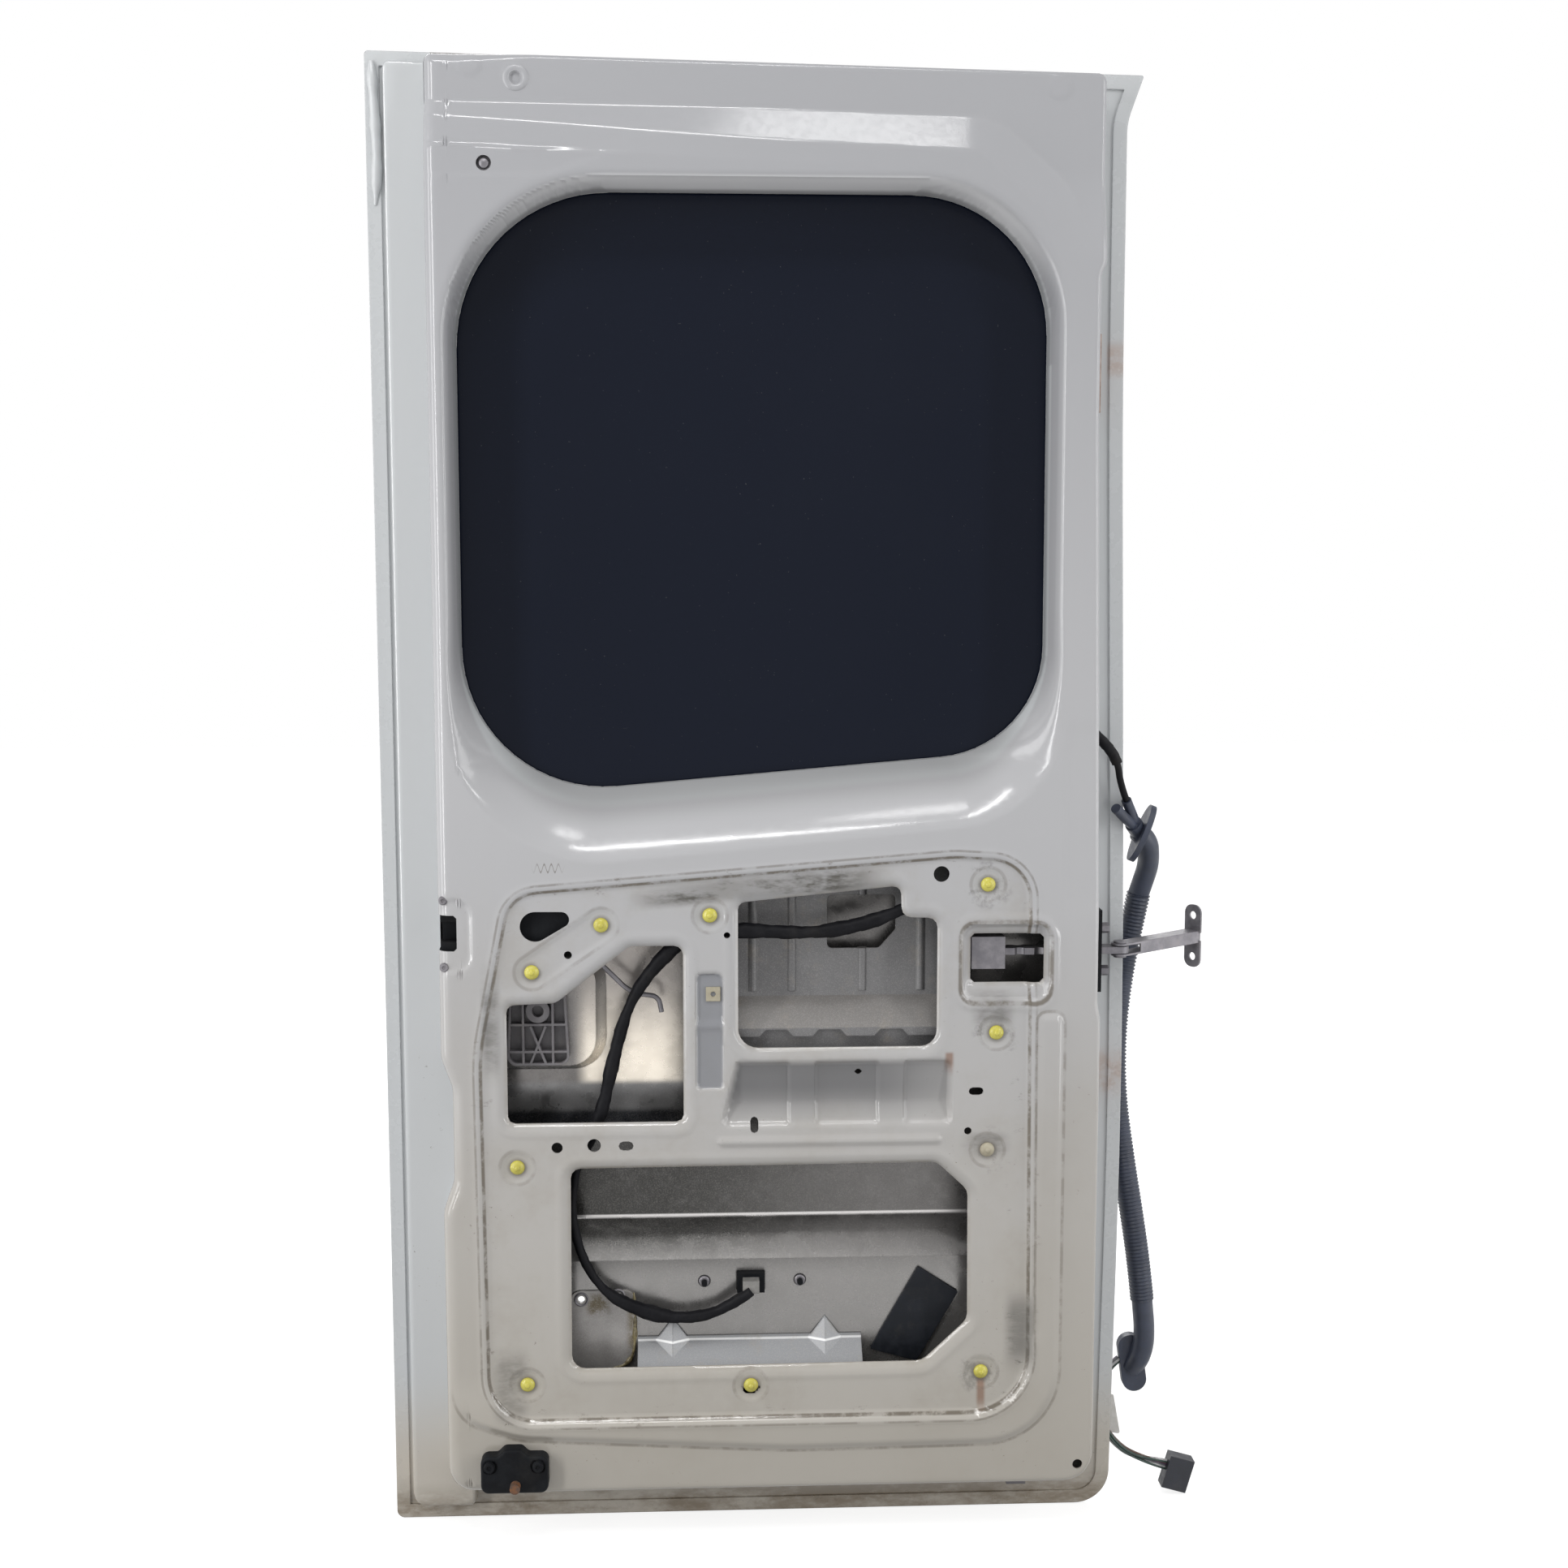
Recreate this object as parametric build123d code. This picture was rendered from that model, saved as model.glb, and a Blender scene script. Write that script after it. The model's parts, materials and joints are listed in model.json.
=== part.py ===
from build123d import *
import math
import os

# Rear barn door leaf of a van, seen from inside along +Y: bare pressed inner panel, bonded window,
# hinge edge on +X, latch edge on -X. Millimetres, +Z up.
# The origin is the middle of the lower hinge seat, on the hinge edge. The outside faces +Y.

# Sheet and depth levels
SHEET = 2.0                # every pressed panel
FACE_Y = -32.0             # inner main face
RIM_Y = 30.0               # joint of inner flange and outer skin
LEDGE_Y = 12.0             # seal channel along the latch edge
UPPER_SKIN_Y = 38.0        # outside face round the window
LOWER_SKIN_Y = 42.0        # outside face below the waist step
REBATE_Y = 26.0            # outside face of the window rebate
HEM_WIDTH = 14.0           # folded edge of the skin
HEM_GAP = 0.2              # flange edge to the inside of the hem fold
SEAT_GAP = 0.3             # seated pieces to their seat
CUT = 5.0                  # how far a cutting tool stands clear
CORE_GAP = 6.0             # recesses of the skin keep this far inside the pan

# Outlines are corners (x, z, corner radius), anticlockwise seen from inside
RIM = [(-724, -470, 8), (28, -470, 36), (36, 20, 12000), (22, 690, 9000),
       (21.5, 958, 60), (37.5, 1003, 2), (-724, 1018, 4)]
HINGE_WALL_X = -4.0        # hinge wall at the check limiter
FOOT_WALL_X = -1.0         # and round the lower hinge
TOP_WALL_X = -12.6         # and round the upper hinge
LATCH_WALL_X = -663.0
JOG_X = -652.0             # the latch wall steps in here
HINGE_STEP = 5.0           # the hinge wall steps out by this above the upper hinge
PANEL_BOTTOM_Z = -418.0
PAN = [(LATCH_WALL_X, PANEL_BOTTOM_Z, 26), (FOOT_WALL_X, PANEL_BOTTOM_Z, 30), (FOOT_WALL_X, 70, 30),
       (HINGE_WALL_X, 84, 30), (HINGE_WALL_X, 200, 400), (TOP_WALL_X, 660, 400), (TOP_WALL_X, 803, 12),
       (TOP_WALL_X + HINGE_STEP, 814, 12), (TOP_WALL_X + HINGE_STEP, 995, 8), (LATCH_WALL_X, 1008, 8),
       (LATCH_WALL_X, 34, 30), (JOG_X, 4, 30), (JOG_X, -92, 30), (LATCH_WALL_X, -122, 30)]
LEDGE_X = -705.0
LEDGE = [(LEDGE_X, -452, 14), (-640, -452, 4), (-640, 1004, 4), (LEDGE_X, 1006, 6)]
PAN_EDGE_R = 4.5           # rolled edge of the main face
SPLIT_Z = (-70.0, 237.5)   # the pressing is stated as a lower panel, a band and a window frame
SPLIT_X = (-600.0, -158.0) # and the band as a latch panel, an inner panel and a hinge panel
REACH = 2000.0             # past everything

# Window: opening at the glass and the wider mouth at the main face
APERTURE = [(-640, 289, 140), (-55, 339, 112), (-56, 886, 135), (-640, 886, 150)]
MOUTH = [(-650, 227, 150), (-43, 283, 115), (-43, 889, 140), (-650, 889, 155)]
REBATE_GROW = 24.0         # rebate edge beyond the opening
GLASS_GROW = 20.0          # glass edge beyond the opening
GLASS_THICK = 4.5
BEAD = (5.0, 15.0)         # bonding bead, inner and outer growth
BEAD_THICK = 4.0

# Pressed levels of the inner face
HEADER = [(-760, 952, 0), (-640, 950, 60), (-340, 927, 700), (-140, 917, 110), (-34, 800, 60),
          (60, 760, 0), (60, 1100, 0), (-760, 1100, 0)]
HEADER_DEPTH = 16.0
HEADER_SLOPE = 24.0
CORNER_PAD = [(-650, 891, 6), (-545, 893, 10), (-480, 913, 3), (-648, 919, 10)]
CORNER_PAD_DEPTH = 2.5
FIELD = [(-620, -342, 48), (-69, -342, 62), (-73, 231, 42), (-150, 236, 60), (-592, 201, 34), (-624, 40, 220)]
FIELD_DEPTH = 3.0
FIELD_SLOPE = 3.0
BORDER = [(-657, -340, 44), (-590, -362, 60), (-317, -378, 400), (-37, -375, 78), (-37, 78, 10), (-66, 78, 10),
          (-66, -290, 40), (-657, -290, 8)]
BORDER_HEIGHT = 4.0
BORDER_SLOPE = 5.0
CHECK_PAN = [(-142, 87, 14), (-53, 87, 14), (-53, 168, 14), (-142, 168, 14)]
CHECK_PAN_DEPTH = 5.0
CROSS_SECTION = [(2.0, 31.0), (9.0, -16.0), (0.0, -40.0)]   # depth in the field and z of the sloping cross pan
CROSS_X = (-384.0, -150.0)
CROSS_BAYS = [(-384, -313), (-290, -223), (-200, -150)]     # deeper bays between its two beads
CROSS_BAY_DEPTH = 2.0
PILLAR = [(-410, -1, 6), (-379, -1, 6), (-379, 121, 8), (-410, 121, 8)]
PILLAR_DEPTH = 4.0
RIB_BAR = [(-388, -58, 5), (-160, -58, 5), (-160, -48, 5), (-388, -48, 5)]
RIB_BAR_HEIGHT = 3.0
FIELD_Y = FACE_Y + FIELD_DEPTH

# Cut-outs of the inner panel
LEFT_OPENING = [(-597, -33, 7), (-421, -33, 7), (-421, 147, 9), (-474, 147, 12), (-548, 90, 14), (-597, 88, 8)]
RIGHT_OPENING = [(-366, 42, 20), (-166, 42, 16), (-166, 173, 10), (-202, 174, 10), (-203, 206, 8), (-366, 190, 8)]
LOWER_OPENING = [(-536, -290, 14), (-178, -288, 16), (-132, -245, 14), (-133, -108, 14), (-165, -78, 14),
                 (-535, -80, 10)]
CHECK_OPENING = [(-132, 106, 4), (-58, 106, 4), (-58, 156, 4), (-132, 156, 4)]
LATCH_NOTCH_X = -644.0
LATCH_NOTCH_Z = (144.0, 180.0)
LATCH_NOTCH_Y = -4.0
KEYHOLE = ((-567, 168, 15.0), (-541, 175, 7.8))
ROUND_HOLES = [(-163, 218, 8.0), (-377, 158, 3.2), (-548, -57, 5.6), (-511, -55, 6.8), (-134, -45, 3.8),
               (-17, -399, 5.2), (-535, 139, 4.0), (-605, 902, 7.2), (-575, 984, 6.4)]
SLOT_HOLES = [(-479, -56, 15.0, 9.6), (-350, -37, 8.0, 15.0), (-126, -4, 15.0, 8.0), (-245, 16, 8.0, 5.6)]

# Trim clips, in holes of the field
CLIPS = [(-502, 169), (-571, 122), (-394, 178), (-116, 207), (-106, 56), (-588, -77), (-581, -304), (-354, -309),
         (-118, -299)]
PALE_CLIP = (-114, -65)
CLIP_HEAD_R = 7.2
CLIP_HEAD = 4.5
CLIP_STEM_R = 3.6
CLIP_STEM = 6.0
CLIP_GAP = 0.3
CLIP_DIMPLE_R = 16.0
CLIP_DIMPLE_DEPTH = 2.0
CLIP_SEAT_Y = FIELD_Y + CLIP_DIMPLE_DEPTH
LATCH_CLIPS = (CLIPS[0], CLIPS[1])   # these two share one long dimple
NUT_CLIP = (-391, 98)
NUT_CLIP_HOLE = 11.0
NUT_CLIP_RIM = 2.0
NUT_SEAT_Y = FIELD_Y + PILLAR_DEPTH

# Hinge seats and edge holes
HINGE_Z = (0.0, 710.0)
HINGE_WALLS = (FOOT_WALL_X, TOP_WALL_X)
HINGE_FACES = (0.0, TOP_WALL_X + 3.0)
HINGE_PAD = (40.0, 76.0)
HINGE_BOLT_PITCH = 40.0
HINGE_BOLT_R = 4.5
HINGE_PLATE_THICK = 6.0

# Outside pressings
SHOULDER_IN = 20.0
SHOULDER_SLOPE = 7.0
WAIST = [(-760, -520, 0), (80, -520, 0), (80, 262, 0), (-760, 194, 0)]
WAIST_SLOPE = 5.0
PLATE_MOUTH = [(-622, -410, 22), (-50, -410, 22), (-50, -152, 22), (-622, -152, 22)]
PLATE_FLOOR = [(-612, -398, 18), (-60, -398, 18), (-60, -192, 18), (-612, -192, 18)]
PLATE_FLOOR_Y = 14.0
CUP_MOUTH = [(-646, 8, 32), (-502, 8, 32), (-502, 137, 32), (-646, 137, 32)]
CUP_FLOOR = [(-636, 18, 26), (-512, 18, 26), (-512, 127, 26), (-636, 127, 26)]
CUP_FLOOR_Y = 16.0
VENT_HOLES = ((-528, -230), (-490, -227))
VENT_R = 3.6

# Latch, rod and handle
LATCH = [(-620, 110, 8), (-560, 120, 12), (-536, 152, 10), (-532, 192, 10), (-620, 194, 8)]
LATCH_Y = (-20.0, 8.0)
LATCH_CASE_Z = (112.0, 192.0)
LATCH_SLOT_Z = (152.0, 172.0)
LATCH_MOUTH = 24.0
ROD_R = 2.5
ROD = [(-545, 2, 165), (-474, 2, 94), (-446, 2, 90), (-443, 2, 74)]
CARRIER_TOP = (-596.0, -540.0, 100.0)
CARRIER_BOTTOM = (-600.0, -536.0, 20.0)
CARRIER_FLOOR = 3.0
CARRIER_DEPTH = 13.0
CARRIER_RIB = 2.4
CARRIER_BOSS = (-568.0, 76.0, 12.0)
CARRIER_CROSS_Z = (34.0, 62.0, 90.0)
CARRIER_LONG_X = (-583.0, -553.0)
CARRIER_LEAN = 22.0
HANDLE = [(-604, 26, 16), (-540, 26, 16), (-534, 120, 16), (-610, 120, 16)]
HANDLE_Y = (34.0, 48.0)
HANDLE_ROUND = 6.0
HANDLE_POST_X = -572.0
HANDLE_POST_Z = (46.0, 102.0)
HANDLE_POST_R = 9.0

# Reinforcements between the panels
BEAM_X = (-396.0, -150.0)
BEAM_Y = 18.0
BEAM_Z = (86.0, 218.0)
BEAM_LEDGE = (-8.0, 58.0)
BEAM_LIP = 9.0
BEAM_WEB = (6.0, 30.0)     # web under the ledge: set back, drop
BEAM_RIBS = (-350, -310, -238, -178)
BEAM_RIB_R = 5.0
BEAM_CUT = [(-274, 135, 5), (-221, 135, 5), (-204, 154, 5), (-204, 190, 5), (-274, 190, 5)]
SCALLOP_X = (-327, -273, -210)
SCALLOP = (34.0, 22.0, 7.0)            # width at the edge, width at the root, height
RAIL_X = (-468.0, -236.0)
RAIL_Z = (-258.0, -270.0, -302.0, -326.0)
RAIL_DARTS = (-433, -275)
DART = (13.0, 17.0)
PATCH = [(-539, -306, 4), (-473, -306, 22), (-473, -221, 10), (-539, -221, 10)]
PAD = [(-229, -288, 2), (-180, -302, 2), (-137, -228, 2), (-179, -200, 2)]
PAD_THICK = 3.0

# Number plate lamp
LAMP_Z = -213.0
LAMP_X = -353.0
LAMP_BAR = (250.0, 26.0, 20.0)
LAMP_SOCKET = (29.0, 21.0)
LAMP_FRONT_Y = 3.0
LAMP_ROUND = 6.0
LAMP_STUD_X = (-401.0, -302.0)
LAMP_STUD_R = 3.0
LAMP_PLUG = (17.0, 13.0, 12.0)

# Guide block at the foot
GUIDE = [(-628, -411, 8), (-560, -411, 8), (-560, -372, 8), (-580, -372, 6), (-587, -365, 6), (-604, -365, 6),
         (-611, -372, 6), (-628, -372, 8)]
GUIDE_THICK = 15.0
GUIDE_ROUND = 3.0
GUIDE_PIN = (-593.0, -402.0)
GUIDE_PIN_R = 5.2
GUIDE_PIN_LENGTH = 9.0
FOOT_CLIP = (-78.0, 20.0, 9.0, 16.0)   # x, width, height, depth

# Check strap
ARM_Z = 135.0
ARM = (18.0, 7.0)          # width in y, height in z
ARM_INNER_X = -126.0
PIN_X = 24.0
PIN_R = 4.0
PIN_GAP = 0.08
ARM_GAP = 0.3              # running gap of the arm in the limiter
STOP_X = (-130.0, -96.0)
STOP = (30.0, 33.0)
LIMITER_PLATE = (7.0, 24.0, 84.0)
LIMITER_BOX = (27.0, 34.0, 44.0)
LIMITER_BOLT_PITCH = 44.0
LIMITER_BOLT_R = 5.5
LIMITER_BOLT_HEAD = 9.0
WALL_SLOT = (26.0, 18.0)
BRACKET_LENGTH = 116.0
BRACKET_WIDTH = 18.0
BRACKET_SHEET = 2.0
BRACKET_GAP = 0.8
BRACKET_YAW = 36.0
BRACKET_WEB_X = 22.0
EAR = (21.0, 29.0)
EAR_R = 9.0
EAR_HOLE_Z = 22.0
EAR_HOLE_R = 4.2
PIN_HEAD = 2.0
PIN_HEAD_R = 6.5
DETENT_X = (-80.0, -60.0, -40.0)
DETENT_R = 6.0

# External harness
LEAD_D = 7.0
LEAD_HOLE_GAP = 0.4
LEAD = [(-22, 0, 369), (4, 1, 348), (19, 3, 327), (23, 8, 304), (31, 14, 286)]
TUBE_D = 22.0
GROMMET_PATH = [(50, 36, 250), (61, 42, 238), (65, 54, 214), (58, 68, 180)]
GROMMET_STUBS = [(18, 4, 279), LEAD[-1]]
STUB_R = 5.2
GROMMET_NECK = (42, 28, 260)
GROMMET_NECK_R = 9.0
GROMMET_FLANGE = (62.0, 34.0, 6.0)
CONDUIT_D = 25.0
CONDUIT = [GROMMET_PATH[-1], (51, 72, 140), (42, 70, 92), (34, 61, 36), (33, 54, -28), (42, 50, -95), (54, 48, -166),
           (62, 48, -218), (66, 48, -254)]
LOWER_GROMMET = [CONDUIT[-1], (69, 48, -284), (69, 48, -304), (65, 50, -321), (59, 58, -334)]
LOWER_FLANGE = (63.0, 26.0, 10.0)      # long, wide, thick
LOWER_FLANGE_AT = (58.5, 54.0, -328.5)
LOWER_FLANGE_TILT = -8.0
TAIL_D = 8.0
TAIL = [(45, 59, -325), (31, 57, -335), (23, 55, -360), (25, 53, -392), (38, 52, -414), (60, 50, -431),
        (96, 48, -440)]
PLUG = (27.0, 16.0, 36.0)
PLUG_TILT = 16.0
PLUG_DROP = 5.0
TAG = [(22, -405, 2), (48, -410, 2), (40, -366, 2), (22, -362, 2)]
TAG_Y = (59.3, 60.3)

# Door harness, clipped inside the panels
HARNESS_D = 12.0
HARNESS = [(-16, 0, 369), (-22, -6, 334), (-40, -12, 288), (-88, -15, 236), (-148, -16, 204), (-201, -16, 180),
           (-232, -16, 168), (-268, -16, 160), (-301, -16, 157), (-362, -16, 161), (-408, -14, 158), (-440, -12, 136),
           (-474, -10, 91), (-491, -8, 33), (-505, -6, -34), (-528, -4, -76), (-535, -2, -112), (-535, 0, -150),
           (-523, 0, -190), (-502, -1, -220), (-467, -2, -238), (-433, -2, -247), (-400, -2, -245), (-376, -4, -234),
           (LAMP_X, -10, LAMP_Z - 4)]


# Geometry helpers

def grown(corners, grow):
    """Corners moved outwards by grow, each corner radius following."""
    count = len(corners)
    moved = []
    for i, (x, z, radius) in enumerate(corners):
        before = Vector(x - corners[i - 1][0], z - corners[i - 1][1]).normalized()
        after = Vector(corners[(i + 1) % count][0] - x, corners[(i + 1) % count][1] - z).normalized()
        out_before = Vector(before.Y, -before.X)
        out_after = Vector(after.Y, -after.X)
        middle = out_before + out_after
        shift = middle * (grow / (1 + out_before.dot(out_after)))
        turn = before.X * after.Y - before.Y * after.X
        new_radius = radius + (grow if turn > 0 else -grow)
        moved.append((x + shift.X, z + shift.Y, max(new_radius, 0.4) if radius else 0))
    return moved


def outline(corners, y, grow=0.0):
    """Closed wire of rounded corners in the plane at y."""
    placed = grown(corners, grow) if grow else corners
    points = [(x, z) for x, z, radius in placed]
    radii = [radius for x, z, radius in placed]
    plane = Plane((0, y, 0), x_dir=(1, 0, 0), z_dir=(0, -1, 0))
    return plane * FilletPolyline(*points, radius=radii, close=True)


def outline_face(corners, y, grow=0.0):
    return make_face(outline(corners, y, grow).edges())


def prism(corners, y0, y1, grow=0.0):
    """Straight solid of an outline between two depths."""
    return extrude(outline_face(corners, y0, grow), amount=y1 - y0, dir=(0, 1, 0))


def taper(corners, y0, y1, grow0, grow1):
    """Solid whose outline grows from one depth to the next."""
    return loft([outline_face(corners, y0, grow0), outline_face(corners, y1, grow1)], ruled=True)


def funnel(front, y0, back, y1, grow=0.0):
    """Solid between two different outlines with as many corners."""
    return loft([outline_face(front, y0, grow), outline_face(back, y1, grow)], ruled=True)


def drill(x, z, radius, y0, y1):
    """Round bar along Y."""
    return Pos(x, (y0 + y1) / 2, z) * Rot(90, 0, 0) * Cylinder(radius, abs(y1 - y0))


def dish(x, z, radius, y0, y1):
    """Round bar along Y that narrows by its own length."""
    depth = y1 - y0
    return Pos(x, (y0 + y1) / 2, z) * Rot(90, 0, 0) * Cone(radius - depth, radius, depth)


def capsule(start, end, radius, y0, y1):
    """Bar along Y with round ends, between two (x, z) points."""
    (x0, z0), (x1, z1) = start, end
    plane = Plane(((x0 + x1) / 2, y0, (z0 + z1) / 2), x_dir=(1, 0, 0), z_dir=(0, -1, 0))
    turn = math.degrees(math.atan2(z1 - z0, x1 - x0))
    section = plane * Rot(0, 0, turn) * SlotCenterToCenter(math.hypot(x1 - x0, z1 - z0), 2 * radius)
    return extrude(section, amount=y1 - y0, dir=(0, 1, 0))


def rod_x(y, z, radius, x0, x1):
    """Round bar along X."""
    return Pos((x0 + x1) / 2, y, z) * Rot(0, 90, 0) * Cylinder(radius, abs(x1 - x0))


def slot_y(x, z, width, height, y0, y1):
    """Rounded slot along Y."""
    end = min(width, height) / 2
    corners = [(x - width / 2, z - height / 2, end * 0.98), (x + width / 2, z - height / 2, end * 0.98),
               (x + width / 2, z + height / 2, end * 0.98), (x - width / 2, z + height / 2, end * 0.98)]
    return prism(corners, y0, y1)


def box(x, y, z):
    """Box from three (low, high) pairs."""
    size = [abs(b - a) for a, b in (x, y, z)]
    return Pos((x[0] + x[1]) / 2, (y[0] + y[1]) / 2, (z[0] + z[1]) / 2) * Box(*size)


def bend_radii(points, share=0.45):
    """Largest arc that each corner of a route leaves room for."""
    radii = []
    for a, b, c in zip(points, points[1:], points[2:]):
        first = Vector(*b) - Vector(*a)
        second = Vector(*c) - Vector(*b)
        turn = math.radians(first.get_angle(second))
        radii.append(share * min(first.length, second.length) / math.tan(turn / 2))
    return radii


def tube(points, diameter, name):
    """Round tube along straight runs and tangent arcs."""
    radii = bend_radii(points)
    path = FilletPolyline(*points, radius=radii)
    section = Plane(origin=path @ 0, z_dir=path % 0) * Circle(diameter / 2)
    solid = sweep(section, path=path)
    expected = math.pi * diameter ** 2 / 4 * path.length
    print(name, "length", round(path.length), "volume share", round(solid.volume / expected, 4),
          "radii", [round(r) for r in radii])
    return solid


# Sub-parts

def inner_panel():
    """Pressed inner panel: what lies behind its face, less the same form one sheet further in."""

    def cross_pan(field_y, x_range, step, more):
        """Wedge that leans back downwards, cut below the right opening."""
        (top, top_z), (low, low_z), (end, end_z) = CROSS_SECTION
        points = [(field_y - CUT, top_z + step), (field_y + top + more, top_z + step), (field_y + low + more, low_z),
                  (field_y + end + more, end_z - step), (field_y - CUT, end_z - step)]
        section = Plane.YZ * make_face(Polyline(*points, close=True).edges())
        start, stop = x_range[0] - step, x_range[1] + step
        return Pos(start, 0, 0) * extrude(section, amount=stop - start, dir=(1, 0, 0))

    def pressing(step):
        """Everything behind the face, moved in by step."""
        face_y = FACE_Y + step
        back_y = RIM_Y + (CUT if step else 0)
        body = prism(PAN, face_y, back_y, -step)
        edge_r = PAN_EDGE_R - step
        front = body.faces().sort_by(Axis.Y)[0]
        body = fillet(front.edges(), edge_r)
        body += prism(LEDGE, LEDGE_Y + step, back_y, -step)
        body += taper(BORDER, face_y, face_y - BORDER_HEIGHT, -step, -step - BORDER_SLOPE)
        body -= taper(HEADER, face_y, face_y + HEADER_DEPTH, step, step - HEADER_SLOPE)
        body -= taper(FIELD, face_y - BORDER_HEIGHT, face_y + FIELD_DEPTH, step + BORDER_HEIGHT, step - FIELD_SLOPE)
        field_y = face_y + FIELD_DEPTH
        body -= taper(CHECK_PAN, field_y - FIELD_DEPTH, field_y + CHECK_PAN_DEPTH, step, step - CHECK_PAN_DEPTH)
        body -= cross_pan(field_y, CROSS_X, step, 0)
        for bay in CROSS_BAYS:
            body -= cross_pan(field_y, bay, step, CROSS_BAY_DEPTH)
        body -= taper(PILLAR, field_y, field_y + PILLAR_DEPTH, step, step - PILLAR_DEPTH / 2)
        body -= taper(CORNER_PAD, face_y, face_y + CORNER_PAD_DEPTH, step, step - CORNER_PAD_DEPTH)
        for x, z in CLIPS + [PALE_CLIP]:
            body -= dish(x, z, CLIP_DIMPLE_R + step, field_y, field_y + CLIP_DIMPLE_DEPTH)
        body -= capsule(*LATCH_CLIPS, CLIP_DIMPLE_R + step, field_y, field_y + CLIP_DIMPLE_DEPTH)
        body += taper(RIB_BAR, field_y, field_y - RIB_BAR_HEIGHT, -step / 2, -step / 2 - RIB_BAR_HEIGHT / 2)
        body -= funnel(MOUTH, face_y, APERTURE, REBATE_Y - SHEET + step, step)
        body -= prism(APERTURE, REBATE_Y - SHEET + step - CUT, RIM_Y + 2 * CUT, step)
        return body

    panel = pressing(0) + prism(RIM, RIM_Y - SHEET, RIM_Y, -SHEET - HEM_GAP)
    panel -= pressing(SHEET)
    panel -= prism(APERTURE, REBATE_Y - SHEET, RIM_Y + CUT, REBATE_GROW + SHEET)
    depth, height = HINGE_PAD
    for z, wall, seat in zip(HINGE_Z, HINGE_WALLS, HINGE_FACES):
        panel += box((wall - SHEET, seat), (-depth / 2, depth / 2), (z - height / 2, z + height / 2))
    front, behind = FACE_Y - 2 * CUT, FACE_Y + 4 * CUT
    for opening in (LEFT_OPENING, RIGHT_OPENING, LOWER_OPENING, CHECK_OPENING):
        panel -= prism(opening, front, behind)
    panel -= box((LATCH_WALL_X - CUT, LATCH_NOTCH_X), (front, LATCH_NOTCH_Y), LATCH_NOTCH_Z)
    for x, z, radius in ROUND_HOLES:
        panel -= drill(x, z, radius, front, behind)
    for x, z, width, height in SLOT_HOLES:
        panel -= slot_y(x, z, width, height, front, behind)
    (x0, z0, r0), (x1, z1, r1) = KEYHOLE
    panel -= drill(x0, z0, r0, front, behind) + drill(x1, z1, r1, front, behind)
    panel -= prism([(x0, z0 - r1, 0.5), (x1, z1 - r1, 0.5), (x1, z1 + r1, 0.5), (x0, z0 + r1, 0.5)], front, behind)
    for x, z in CLIPS + [PALE_CLIP]:
        panel -= drill(x, z, CLIP_STEM_R + CLIP_GAP, front, behind)
    half = NUT_CLIP_HOLE / 2
    panel -= box((NUT_CLIP[0] - half, NUT_CLIP[0] + half), (front, behind), (NUT_CLIP[1] - half, NUT_CLIP[1] + half))
    for z, wall in zip(HINGE_Z, HINGE_WALLS):
        for side in (-1, 1):
            panel -= rod_x(0, z + side * HINGE_BOLT_PITCH / 2, HINGE_BOLT_R, wall - 2 * CUT, CUT)
    deep, high = [size / 2 for size in WALL_SLOT]
    panel -= box((HINGE_WALL_X - 2 * CUT, CUT), (-deep, deep), (ARM_Z - high, ARM_Z + high))
    return panel - tube(LEAD, LEAD_D + 2 * LEAD_HOLE_GAP, "lead hole")


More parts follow.
